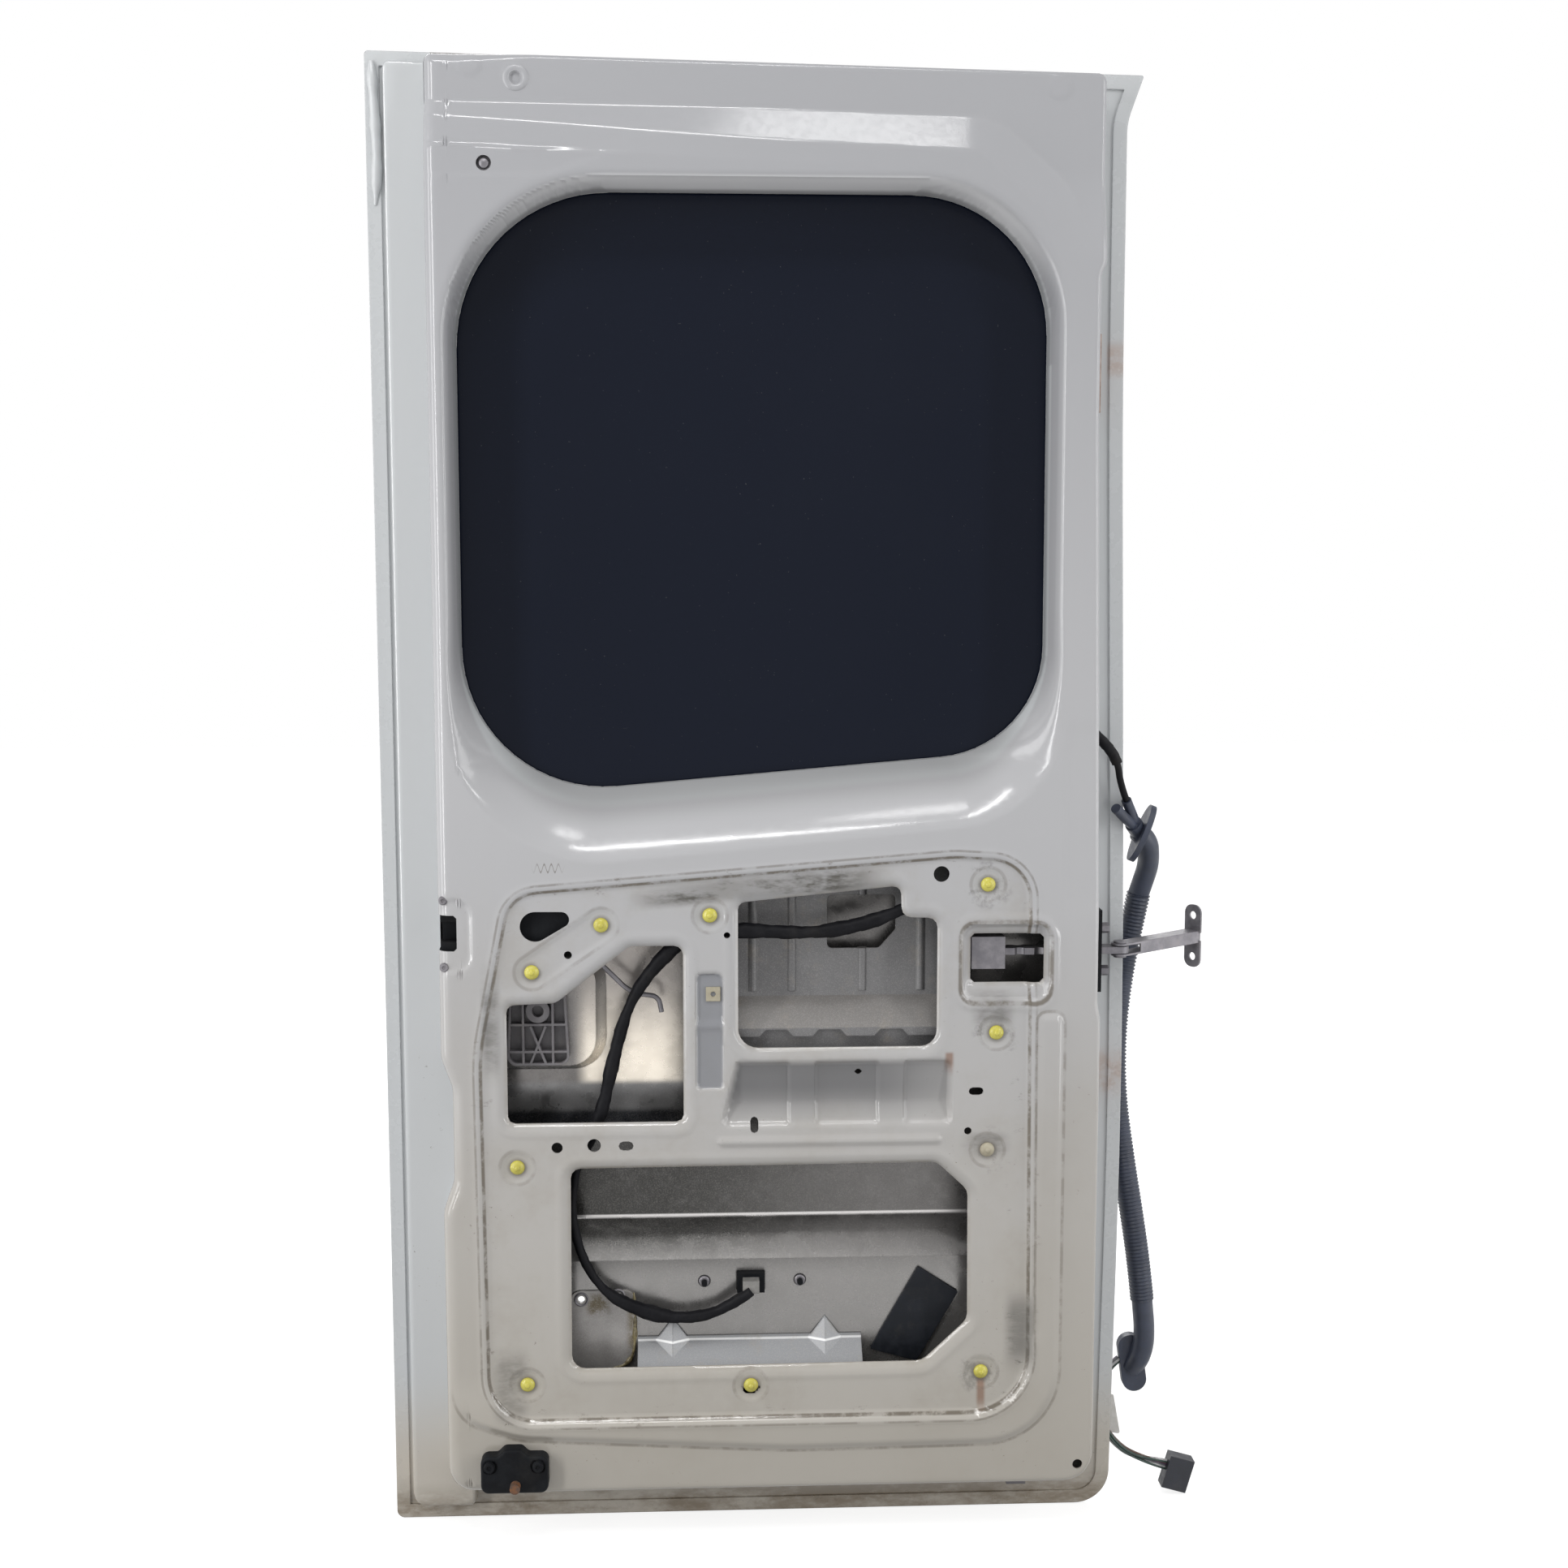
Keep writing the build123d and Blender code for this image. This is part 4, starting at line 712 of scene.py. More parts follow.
def worn_white_with_painted_light(s):
    """White paint, dirty at the foot, with a painted gradient of light and shade by height (greyer and warmer towards
    the foot, where less light falls, and darker at the top) and painted light in the seal channel and on the flange.
    """
    # Painted light and shade by height: greyer and warmer towards the foot, darker at the top
    tone = s.mix(s.step(s.z, -0.42, 0.25), WHITE_FOOT, WHITE_WAIST)
    tone = s.over(tone, WHITE_TOP, s.step(s.z, 0.3, 0.95, 0.0, 0.8))
    low = s.step(s.z, 0.30, -0.10)
    tone = s.over(tone, PALE_DIRT, s.step(s.noise(4.0, 5.0, 0.65), 0.46, 0.75, 0.0, 0.25), low)
    # Painted light: the seal channel and the flange, which lie deeper, are painted paler
    lit_deep = s.mix(s.step(s.z, -0.42, -0.30), CHANNEL_LIGHT_FOOT, CHANNEL_LIGHT_WHITE)
    tone = s.mix(s.step(s.y, 0.002, 0.010), tone, lit_deep)
    specks = s.step(s.noise(210.0, 3.0, 0.7), 0.66, 0.72)
    patches = s.step(s.noise(14.0, 4.0, 0.6), 0.50, 0.66)
    tone = s.over(tone, DIRT, specks, patches, low, 0.75)
    streaks = s.step(s.noise(30.0, 5.0, 0.7, (0.4, 1, 1)), 0.36, 0.62, 0.15, 0.85)
    tone = s.over(tone, FOOT_GRIME, s.step(s.z, -0.42, -0.462), streaks)
    return s.mix(hinge_marks(s), tone, STAIN)


def field_grime(s, tone):
    """Dark lines, smudges and scratches of the trim field, where the trim board was pressed on."""
    field = s.inset("field")
    breaks = s.step(s.noise(38.0, 4.0, 0.7), 0.38, 0.56, 0.3, 1.0)
    tone = s.over(tone, DIRT, s.near(field, 0.8, 2.4), breaks, 0.9)
    tone = s.over(tone, DIRT, s.near(field, -6.0, 1.8), breaks, 0.5)
    # The lower face outside the field is darkened a little
    around = s.both(s.step(field, -4.0, -9.0), s.step(s.z, 0.25, -0.10), s.step(s.y, 0.0, -0.01))
    tone = s.over(tone, PALE_DIRT, around, 0.22)
    tone = s.over(tone, PALE_DIRT, s.step(field, -2.0, 4.0), s.step(s.noise(9.0, 5.0, 0.7), 0.44, 0.72, 0.05, 0.32))
    ragged = s.step(s.noise(46.0, 5.0, 0.75, (1, 1, 2.2)), 0.60, 0.74, 0.0, 0.6)
    tone = s.over(tone, DIRT, s.near(field, 2.0, 16.0), ragged)
    smear = s.step(s.noise(26.0, 5.0, 0.7, (0.35, 1, 1)), 0.36, 0.62, 0.25, 1.0)
    band = s.both(s.near(field, 15.0, 15.0), s.near(s.x, -0.345, 0.14), s.step(s.z, 0.15, 0.17), smear)
    tone = s.over(tone, SMEAR, band, 1.8)
    side = s.both(s.near(field, 14.0, 13.0), s.step(s.x, -0.11, -0.09), s.step(s.z, 0.10, 0.04), ragged)
    tone = s.over(tone, SMEAR, side, 0.9)
    for (x, z), (wide, tall) in SMUDGES:
        tone = s.over(tone, SMEAR, s.near(s.x, x, wide), s.near(s.z, z, tall), smear, 0.65)
    return tone


def rust_drips(s, tone):
    """Two thin brown runs below the lower right clip and the check pan."""
    for x, top, foot in RUST_RUNS:
        ends = s.both(s.step(s.z, top + 0.002, top - 0.002), s.step(s.z, foot, foot + 0.02))
        tone = s.over(tone, RUST, s.near(s.x, x, 0.006), ends, 0.7)
    return tone


def pencil_mark(s, tone):
    """Wavy scribble above the left opening."""
    wave = s.math("MULTIPLY", s.math("SINE", s.math("MULTIPLY", s.x, 900.0)), 0.004)
    line = s.near(s.math("SUBTRACT", s.z, wave), 0.227, 0.0016)
    return s.over(tone, DIRT, line, s.near(s.x, -0.553, 0.018), 0.6)


def panel_paint():
    """Dirty white gloss of the pressed face, with grime along its pressings, painted shade in the cross pan, the
    pillar and the wide flare by the glass, and painted light at the top of the flare.
    """
    s = Shader("panel_paint", 0.19, specular=0.5)
    tone = field_grime(s, worn_white_with_painted_light(s))
    tone = pencil_mark(s, rust_drips(s, tone))
    breaks = s.step(s.noise(30.0, 4.0, 0.7), 0.40, 0.58, 0.2, 1.0)
    tone = s.over(tone, DIRT, s.near(s.inset("dimple"), 17.5, 2.6), breaks, 0.3)
    tone = s.over(tone, DIRT, s.step(s.inset("clip"), 12.0, 7.5), 0.5)
    tone = s.over(tone, PALE_DIRT, s.step(s.inset("open"), 5.0, 0.0), breaks, 0.35)
    tone = s.over(tone, DIRT, s.near(s.inset("check"), -1.0, 3.5), breaks, 0.8)
    ends = s.math("MAXIMUM", s.step(s.x, -0.52, -0.50), s.step(s.z, -0.30, -0.34))
    outside = s.both(ends, s.step(s.inset("field"), -2.0, -6.0))
    tone = s.over(tone, DIRT, s.near(s.inset("border"), 0.0, 2.4), outside, breaks, 0.45)
    # Painted shade in the cross pan, strongest at its top and to the left
    fading = s.both(s.step(s.z, -0.042, 0.004, 0.1, 1.0), s.step(s.x, -0.12, -0.25, 0.35, 1.0))
    tone = s.over(tone, PAN_SHADE, s.step(s.inset("cross"), 1.0, 9.0, 0.0, 0.9), fading)
    # Painted shade in the pillar's recess
    tone = s.over(tone, PILLAR_SHADE, s.step(s.inset("pillar"), 1.0, 4.0, 0.0, 0.75))
    # Painted shade on the wide parts of the flare, growing towards the glass
    tone = s.over(tone, FLARE_SHADE, s.step(s.inset("mouth"), 26.0, 62.0, 0.0, 0.62))
    glass_edge = s.inset("aperture")
    # Painted light on the upper flare just by the glass
    tone = s.over(tone, FLARE_TOP_LIGHT, s.step(glass_edge, -9.0, -3.0), s.step(s.z, 0.78, 0.88))
    # Dark seam at the glass: partly dirty seal, partly painted shade
    tone = s.over(tone, GLASS_SEAM_AND_SHADE, s.step(glass_edge, -1.5, -0.4, 0.0, 0.55))
    scuffs = s.both(s.near(s.inset("clip"), 15.0, 13.0), s.step(s.noise(34.0, 5.0, 0.7), 0.50, 0.66))
    tone = s.over(tone, SMEAR, scuffs, s.step(s.x, -0.20, -0.10), 0.55)
    s.roughness(s.step(s.noise(160.0, 3.0, 0.6), 0.35, 0.7, 0.11, 0.18))
    return s.finish(tone, (420.0, 2.0, 0.5), 0.05, 0.0005)


def white_trim():
    """White paint of the small pieces set in the pressed face."""
    s = Shader("white_trim", 0.25)
    return s.finish(worn_white_with_painted_light(s), (300.0, 3.0, 0.6), 0.1, 0.0005, edge=0.0006)


def sparkle(s, tone, colour, low=0.6, amount=0.2):
    """Fine bright grains of a metallic coat."""
    return s.over(tone, colour, s.step(s.cells(1500.0), low, 1.0, 0.0, amount))


# Primer tones that are painted light and shade across the cavity: darker to the left, paler low down
PRIMER_LEFT, PRIMER_RIGHT, PRIMER_LOW = (0.045, 0.044, 0.042), (0.135, 0.13, 0.127), (0.25, 0.243, 0.237)
PRIMER_BLOTCH = (0.22, 0.215, 0.215)
# Painted highlight along the fold behind the lower opening
FOLD_HIGHLIGHT = (0.66, 0.64, 0.63)
# Painted pool of light behind the left opening, turning to painted shade at its side and foot
LIT_SKIN_TOP, LIT_SKIN_MIDDLE, LIT_SKIN_SIDE = (0.34, 0.315, 0.295), (0.95, 0.87, 0.75), (0.19, 0.18, 0.175)
SHADED_SKIN_LOW, SHADED_SKIN_FOOT = (0.24, 0.238, 0.24), (0.03, 0.032, 0.038)
PRIMER_GRAIN = (0.80, 0.76, 0.70)


def primer(s):
    """Fine metallic primer with painted light and shade: darker to the left and paler low down, a painted highlight
    along a fold behind the lower opening, and a painted pool of bright, warm light behind the left one that turns to
    painted shade at its foot.
    """
    # Painted light and shade: darker to the left, paler below the fold
    tone = s.mix(s.step(s.x, -0.46, -0.18), PRIMER_LEFT, PRIMER_RIGHT)
    tone = s.over(tone, PRIMER_LOW, s.step(s.z, -0.165, -0.215))
    # Painted highlight along the fold
    tone = s.over(tone, FOLD_HIGHLIGHT, s.near(s.z, -0.152, 0.0026))
    # Painted pool of warm light behind the left opening, with painted shade at its side and foot
    lit_skin = s.mix(s.step(s.z, 0.11, 0.01), LIT_SKIN_TOP, LIT_SKIN_MIDDLE)
    lit_skin = s.over(lit_skin, LIT_SKIN_SIDE, s.step(s.x, -0.515, -0.535))
    lit_skin = s.over(lit_skin, SHADED_SKIN_LOW, s.step(s.z, -0.004, -0.012))
    lit_skin = s.over(lit_skin, SHADED_SKIN_FOOT, s.step(s.z, -0.034, -0.042))
    tone = s.over(tone, lit_skin, s.step(s.x, -0.40, -0.45), s.step(s.z, -0.060, -0.055))
    tone = s.over(tone, PRIMER_BLOTCH, s.step(s.noise(60.0, 4.0, 0.7), 0.45, 0.75, 0.0, 0.12))
    return sparkle(s, tone, PRIMER_GRAIN, 0.55, 0.07)


def skin_paint():
    """White outside and hem; grey metallic primer on the inside between the panels."""
    s = Shader("skin_paint", 0.26, specular=0.5)
    sides = s.both(s.step(s.x, -0.662, -0.660), s.step(s.x, -0.012, -0.016),
                   s.step(s.z, -0.418, -0.415), s.step(s.normal[1], -0.25, -0.4))
    s.roughness(s.step(s.noise(40.0), 0.3, 0.7, 0.2, 0.36))
    s.link(s.both(sides, 0.7), s.bsdf.inputs["Metallic"])
    return s.finish(s.mix(sides, worn_white_with_painted_light(s), primer(s)), (500.0, 2.0, 0.5), 0.06, 0.0005, edge=0.0018)


def plain_finish(name, base, shade, roughness, metallic=0.0, specular=0.5, scale=60.0, grain=600.0, dirt=0.35):
    """Mottled finish: two tones, dirt in patches and a fine grain."""
    s = Shader(name, roughness, metallic, specular)
    tone = s.mix(s.step(s.noise(scale, 4.0, 0.65), 0.36, 0.68), base, shade)
    tone = s.over(tone, PALE_DIRT, s.step(s.noise(scale * 0.45, 5.0, 0.7), 0.52, 0.74, 0.0, dirt))
    s.roughness(s.step(s.noise(scale * 2, 3.0, 0.6), 0.3, 0.7, roughness - 0.08, roughness + 0.12))
    return s.finish(tone, (grain, 3.0, 0.6), 0.18, 0.0004, edge=0.0009)


def glass():
    """Dark tinted window with a thin film of dust."""
    s = Shader("tinted_glass", 0.14, specular=0.1)
    film = s.step(s.noise(3.0, 4.0, 0.6), 0.4, 0.8, 0.0, 0.3)
    tone = s.mix(film, (0.0068, 0.0092, 0.0180), (0.010, 0.0125, 0.021))
    dust = s.step(s.noise(320.0, 2.0, 0.6), 0.745, 0.77, 0.0, 0.2)
    s.colour(s.mix(dust, tone, (0.20, 0.20, 0.20)))
    return s.material


def rusty():
    """Rusted steel, dark with orange scale."""
    s = Shader("rusty_steel", 0.7, 0.3)
    tone = s.mix(s.step(s.noise(90.0, 5.0, 0.7), 0.4, 0.65), (0.075, 0.055, 0.045), RUST)
    return s.finish(tone, (240.0, 5.0, 0.7), 0.5, 0.0006)


# Painted light on the ledge's upward faces
LEDGE_TOP_LIGHT = (0.18, 0.17, 0.162)
# Paler tone of the lower rail, and a painted highlight along its fold
RAIL_COAT, RAIL_FOLD_HIGHLIGHT = (0.27, 0.275, 0.285), (0.75, 0.75, 0.75)
HOLE_GLUE, EDGE_GLUE = (0.10, 0.075, 0.03), (0.13, 0.10, 0.045)


def sparkling_coat():
    """Smooth grey primer of the pieces between the panels, paler on the lower rail, with painted light on the upward
    faces of the ledge and a painted highlight along the rail's fold.
    """
    s = Shader("inner_coat", 0.34, 0.1)
    tone = s.mix(s.step(s.noise(16.0, 5.0, 0.65), 0.38, 0.68), (0.175, 0.173, 0.176), (0.135, 0.133, 0.136))
    # Painted light on the upward faces of the ledge
    tone = s.over(tone, LEDGE_TOP_LIGHT, s.step(s.normal[2], 0.4, 0.7), s.step(s.z, 0.0, 0.02))
    tone = s.over(tone, RAIL_COAT, s.step(s.z, -0.20, -0.24))
    # Painted highlight along the rail's fold
    tone = s.over(tone, RAIL_FOLD_HIGHLIGHT, s.near(s.z, -0.2745, 0.0016))
    tone = s.over(tone, PALE_DIRT, s.step(s.noise(40.0, 5.0, 0.7), 0.52, 0.74, 0.0, 0.35))
    tone = sparkle(s, tone, (0.5, 0.49, 0.48))
    return s.finish(tone, (300.0, 3.0, 0.6), 0.06, 0.0004, edge=0.0016)


def bare_patch():
    """Bare metal of the patch, brown with old glue round its holes and along its free edges."""
    s = Shader("bare_patch", 0.36, 0.25)
    tone = s.mix(s.step(s.noise(24.0, 5.0, 0.65), 0.36, 0.68), (0.36, 0.345, 0.335), (0.27, 0.258, 0.25))
    ragged = s.step(s.noise(70.0, 4.0, 0.7), 0.38, 0.60)
    glue = s.both(s.near(s.x, -0.511, 0.016), s.near(s.z, -0.236, 0.016), ragged)
    tone = s.over(tone, HOLE_GLUE, glue, 0.9)
    tone = s.over(tone, EDGE_GLUE, s.step(s.x, -0.484, -0.475), ragged, 0.85)
    tone = sparkle(s, tone, (0.6, 0.58, 0.55))
    return s.finish(tone, (300.0, 3.0, 0.6), 0.1, 0.0004, edge=0.0009)


def patch_glue():
    """Yellow-brown glue squeezed out along the patch."""
    s = Shader("patch_glue", 0.3)
    tone = s.mix(s.step(s.noise(120.0, 4.0, 0.65), 0.36, 0.66), (0.30, 0.255, 0.14), (0.07, 0.052, 0.022))
    return s.finish(tone, (400.0, 3.0, 0.6), 0.2, 0.0004)


FINISHES = {   # two tones, roughness, and what differs from the usual
    "black_rubber": ((0.021, 0.027, 0.046), (0.034, 0.042, 0.068), 0.46, {"dirt": 0.06}),
    "zinc_steel": ((0.15, 0.145, 0.16), (0.23, 0.22, 0.235), 0.40, {"metallic": 0.5, "dirt": 0.2}),
    "black_plastic": ((0.007, 0.0075, 0.009), (0.012, 0.013, 0.015), 0.5, {"specular": 0.08, "dirt": 0.02}),
    "grey_plastic": ((0.13, 0.122, 0.13), (0.18, 0.172, 0.18), 0.40, {"dirt": 0.18}),
    "yellow_plastic": ((0.60, 0.55, 0.09), (0.47, 0.42, 0.07), 0.22, {"dirt": 0.15}),
    "pale_plastic": ((0.42, 0.385, 0.29), (0.34, 0.30, 0.22), 0.5, {"dirt": 0.4}),
    "harness_tape": ((0.006, 0.006, 0.0075), (0.012, 0.012, 0.014), 0.5, {"specular": 0.1, "dirt": 0.03}),
    "pad_felt": ((0.008, 0.0095, 0.013), (0.014, 0.016, 0.021), 0.5, {"specular": 0.2, "dirt": 0.05}),
    "connector_plastic": ((0.007, 0.0085, 0.014), (0.013, 0.015, 0.023), 0.42, {"dirt": 0.05}),
    "plug_plastic": ((0.20, 0.195, 0.185), (0.28, 0.27, 0.26), 0.4, {"dirt": 0.2}),
    "tag_paper": ((0.72, 0.71, 0.68), (0.60, 0.59, 0.56), 0.7, {"dirt": 0.15}),
}


def make_materials():
    """Materials by slot, or by node for the nodes that have one of their own."""
    made = {name: plain_finish(name, *look, **rest) for name, (*look, rest) in FINISHES.items()}
    made.update(panel_paint=panel_paint(), skin_paint=skin_paint(), tinted_glass=glass(), inner_coat=sparkling_coat(),
                rusty_steel=rusty(), patch_plate=bare_patch(), sound_pad=made["pad_felt"],
                tail_connector=made["connector_plastic"], lamp_plug=made["plug_plastic"])
    return made


# Pieces

CLIP_PROFILE = [(7.0, 0), (7.4, 0.7), (7.0, 2.0), (5.6, 3.5), (3.6, 4.4), (2.7, 4.6), (2.3, 5.6), (1.4, 6.0), (0, 6.0)]


def turned_pieces(name, profile, places, slot, sharp=40):
    """Copies of one small turned piece that face the camera side, at (x, y, z)."""
    bm = bmesh.new()
    for place_at in places:
        lathe(bm, profile, place_at, (0, -1, 0))
    return place(name, finish_mesh(bm, name, sharp), "door", slot)


def clip_heads(name, places, slot, nodes):
    """Domed heads of push-in trim clips, each with a small nub."""
    piece = turned_pieces(name, CLIP_PROFILE, [(x, CLIP_SEAT_Y, z) for x, z in places], slot, sharp=50)
    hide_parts(*nodes)


HARNESS = [(-16, 0, 369), (-22, -6, 334), (-40, -12, 288), (-88, -15, 236), (-148, -16, 204), (-201, -16, 180),
           (-232, -16, 168), (-268, -16, 160), (-301, -16, 157), (-362, -16, 161), (-408, -14, 158), (-440, -12, 136),
           (-474, -10, 91), (-491, -8, 33), (-505, -6, -34), (-528, -4, -76), (-535, -2, -112), (-535, 0, -150),
           (-523, 0, -190), (-502, -1, -220), (-467, -2, -238), (-433, -2, -247), (-400, -2, -245), (-376, -4, -234),
           (-353, -10, -217)]
LOOM_R = 6.6
TAPE = 0.7                    # thickness of a lapped edge
TAPE_WRAP = 0.016
LOOM_WIDTH_AT = [(0.515, 1.0), (0.58, 0.88), (0.64, 0.88), (0.70, 1.05), (0.775, 0.62), (0.89, 0.66), (0.96, 1.05),
                 (1.0, 0.95), (1.05, 0.72)]   # metres along the loom, and its share of the full width


def lapped(distance, angle, wrap):
    """Share of a tape's lap, which winds round a cable once in every wrap."""
    return (distance / wrap + angle / (2 * math.pi)) % 1.0


def door_harness():
    """Taped loom between the panels, with the lapped edges of its tape."""
    points, s = even_points(spline_points("door_harness", HARNESS), 0.003)

    def radius_at(distance, angle):
        lump = 0.7 * math.sin(distance * 61) + 0.5 * math.sin(distance * 143 + 1.3)
        full = LOOM_R + TAPE * lapped(distance, angle, TAPE_WRAP) + lump
        return full * MM * looked_up(LOOM_WIDTH_AT, distance)

    piece = tube("loom", points, s, radius_at, "harness_tape")
    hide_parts("door_harness")


LEAD = [(-22, 0, 369), (4, 1, 348), (19, 3, 327), (23, 8, 304), (31, 14, 286)]
LEAD_D = 7.0
SLEEVE_R = 5.2
SLEEVE_END = 0.062
SLEEVE_TAPE = 0.5
SLEEVE_WRAP = 0.009
CONDUIT = [(58, 68, 180), (51, 72, 140), (42, 70, 92), (34, 61, 36), (33, 54, -28), (42, 50, -95), (54, 48, -166),
           (62, 48, -218), (66, 48, -254)]
CONDUIT_D = 25.0
CONDUIT_PITCH = 4.0
CONDUIT_RIDGE = 1.3
CONDUIT_CREST = 1.6           # above 1 its crests and grooves are flat
TAIL = [(45, 59, -325), (31, 57, -335), (23, 55, -360), (25, 53, -392), (38, 52, -414), (60, 50, -431),
        (96, 48, -440)]
TAIL_D = 8.0
STRANDS = 7                   # one of them in the middle
STRAND_R = 1.35
STRAND_TURN = 14              # radians that the bunch turns in a metre
WIRE_COLOURS = [("green", (0.02, 0.05, 0.04)), ("white", (0.55, 0.55, 0.56)), ("grey", (0.16, 0.165, 0.18)),
                ("purple", (0.12, 0.05, 0.13)), ("brown", (0.09, 0.045, 0.03))]
FAN_UP = Vector((0.276, 0, 0.961))     # along the side of the connector that the wires enter
FAN_HALF = 4.2                         # half the width of the row of wires
FAN_LENGTH = 0.042
FAN_FLAT = 0.8                         # share of the bunch's width that is gone at the connector


def harness_lead():
    """Thin cable from the door's edge to the upper grommet, taped where it leaves the door."""
    line = spline_points("harness_lead", LEAD)
    points, s = even_points(line, 0.002)
    piece = tube("lead_cable", points, s, lambda distance, angle: LEAD_D / 2 * MM, "harness_tape")
    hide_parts("harness_lead")
    taped = [p for p, distance in zip(points, s) if distance < SLEEVE_END]

    def sleeve_radius(distance, angle):
        return (SLEEVE_R + SLEEVE_TAPE * lapped(distance, angle, SLEEVE_WRAP)) * MM

    sleeve = tube("lead_sleeve", taped, s, sleeve_radius, "harness_tape")


def conduit():
    """Corrugated conduit between the two grommets."""
    line = spline_points("conduit", CONDUIT)
    points, s = even_points(line, CONDUIT_PITCH * MM / 7)

    def radius_at(distance, angle):
        wave = math.cos(2 * math.pi * distance / (CONDUIT_PITCH * MM))
        return (CONDUIT_D / 2 - CONDUIT_RIDGE / 2 * (1 - max(-1.0, min(1.0, CONDUIT_CREST * wave)))) * MM

    piece = tube("corrugated_conduit", points, s, radius_at, "black_plastic", sides=24, sharp=70)
    piece.data.materials.append(plain_finish("conduit_plastic", (0.017, 0.023, 0.042), (0.029, 0.037, 0.062), 0.4,
                                             dirt=0.05))
    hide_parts("conduit")


def wire_tail():
    """Bunch of thin wires that ends in the connector."""
    line = spline_points("wire_tail", TAIL)
    points, s = even_points(line, 0.002)
    frames = frames_along(points)
    bm = bmesh.new()
    last = STRANDS - 1
    for k in range(STRANDS):
        reach = 0 if k == last else TAIL_D / 2 - STRAND_R
        run = []
        for point, distance, (u, v) in zip(points, s, frames):
            angle = 2 * math.pi * k / last + distance * STRAND_TURN
            fan = float(smooth(distance, s[-1] - FAN_LENGTH, s[-1]))
            bunch = (u * math.cos(angle) + v * math.sin(angle)) * reach * (1 - FAN_FLAT * fan)
            row = FAN_UP * (FAN_HALF * (2 * k / last - 1)) * fan
            run.append(point + (bunch + row) * MM)
        before = len(bm.faces)
        sweep(bm, run, s, lambda distance, angle: STRAND_R * MM, sides=10)
        bm.faces.ensure_lookup_table()
        for face in bm.faces[before:]:
            face.material_index = k % len(WIRE_COLOURS)
    piece = place("tail_wires", finish_mesh(bm, "tail_wires", 60), "door", "harness_tape")
    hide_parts("wire_tail")
    for name, colour in WIRE_COLOURS:
        dark = tuple(0.6 * c for c in colour)
        piece.data.materials.append(plain_finish(f"wire_{name}", colour, dark, 0.4, scale=200.0, dirt=0.15))


SEAT_SIZE = (40, 76)          # depth and height of a seat
SEAT_SUNK = 2                 # how far it goes into the wall
SEAT_BEVEL = 0.8
SEAT_BOLTS = (-20, 20)
BOLT_HOLE = [(4.5, 0.1), (4.5, -0.9), (0, -0.9)]


def hinge_seats():
    """Flat seats of the two absent hinges on the hinge edge, with their bolt holes."""
    bm = bmesh.new()
    for z, wall, face in HINGE_SEATS:
        made = bmesh.ops.create_cube(bm, size=1.0)["verts"]
        back = wall - SEAT_SUNK
        bmesh.ops.scale(bm, vec=Vector((face - back, *SEAT_SIZE)) * MM, verts=made)
        bmesh.ops.translate(bm, vec=Vector(((face + back) / 2, 0, z)) * MM, verts=made)
    bmesh.ops.bevel(bm, geom=list(bm.edges), offset=SEAT_BEVEL * MM, segments=3, profile=0.5, affect="EDGES")
    for z, _, face in HINGE_SEATS:
        for side in SEAT_BOLTS:
            lathe(bm, BOLT_HOLE, (face, 0, z + side), (1, 0, 0))
    return place("hinge_seats", finish_mesh(bm, "hinge_seats"), "door", "panel_paint")


def stained_paint():
    """Brown-pink stain that the hinges left on their seats."""
    return plain_finish("stained_paint", (0.36, 0.27, 0.23), (0.22, 0.15, 0.12), 0.5, scale=90.0, dirt=0.5)


NUT_PROFILE = [(0, 5.0), (2.6, 5.0), (2.6, 3.4), (4.6, 3.4), (5.8, 2.4), (5.8, 0), (6.6, 0), (6.6, -0.6)]
STUD_PROFILE = [(0, 1.6), (3.0, 1.4), (4.6, 0.4), (5.2, -1.5), (7.6, -2.2)]
PLUG_PROFILE = [(0, -2.6), (4.5, -2.4), (6.0, -0.6), (7.2, 0.5), (9.5, 0.9), (12.0, 0.3), (12.6, -0.4)]
SCREW_PROFILE = [(0, 1.2), (1.4, 1.2), (1.8, 2.4), (3.6, 2.2), (4.4, 1.0), (4.6, -0.6)]
RING_PROFILE = [(7.8, -0.8), (7.4, 0.7), (6.4, 1.1), (5.4, 0.5), (5.0, -0.6)]
BOLT_PROFILE = [(0, 2.4), (2.2, 2.4), (2.6, 3.8), (5.0, 3.6), (5.6, 2.2), (5.8, 0), (8.0, 0), (8.0, -0.4)]


BEAD_ENDS = (0.02, 0.03)      # lengths over which a bead gets thin


def brushed_bead(name, route, shape, slot, sides):
    """Uneven bead along a route. Its shape: radius, share left at its start, and height and rate of two waves."""
    points, s = even_points(spline_points(name, route), 0.003)
    radius, thin, (low, low_rate), (high, high_rate) = shape

    def radius_at(distance, angle):
        taper = min(1.0, thin + distance / BEAD_ENDS[0], 0.3 + (s[-1] - distance) / BEAD_ENDS[1])
        lump = low * math.sin(distance * low_rate) + high * math.sin(distance * high_rate + 1.0)
        return (radius + lump) * taper * MM

    return tube(name, points, s, radius_at, slot, sides)


SEALER = [(-717, 25, 1008), (-716, 24, 985), (-714, 24, 950), (-713, 25, 905), (-716, 26, 872)]
SEALER_SHAPE = (5.0, 0.35, (0.5, 130), (0.3, 317))


def hem_sealer():
    """Thick bead of sealer brushed on the hem at the upper latch corner."""
    return brushed_bead("hem_sealer", SEALER, SEALER_SHAPE, "panel_paint", 14)


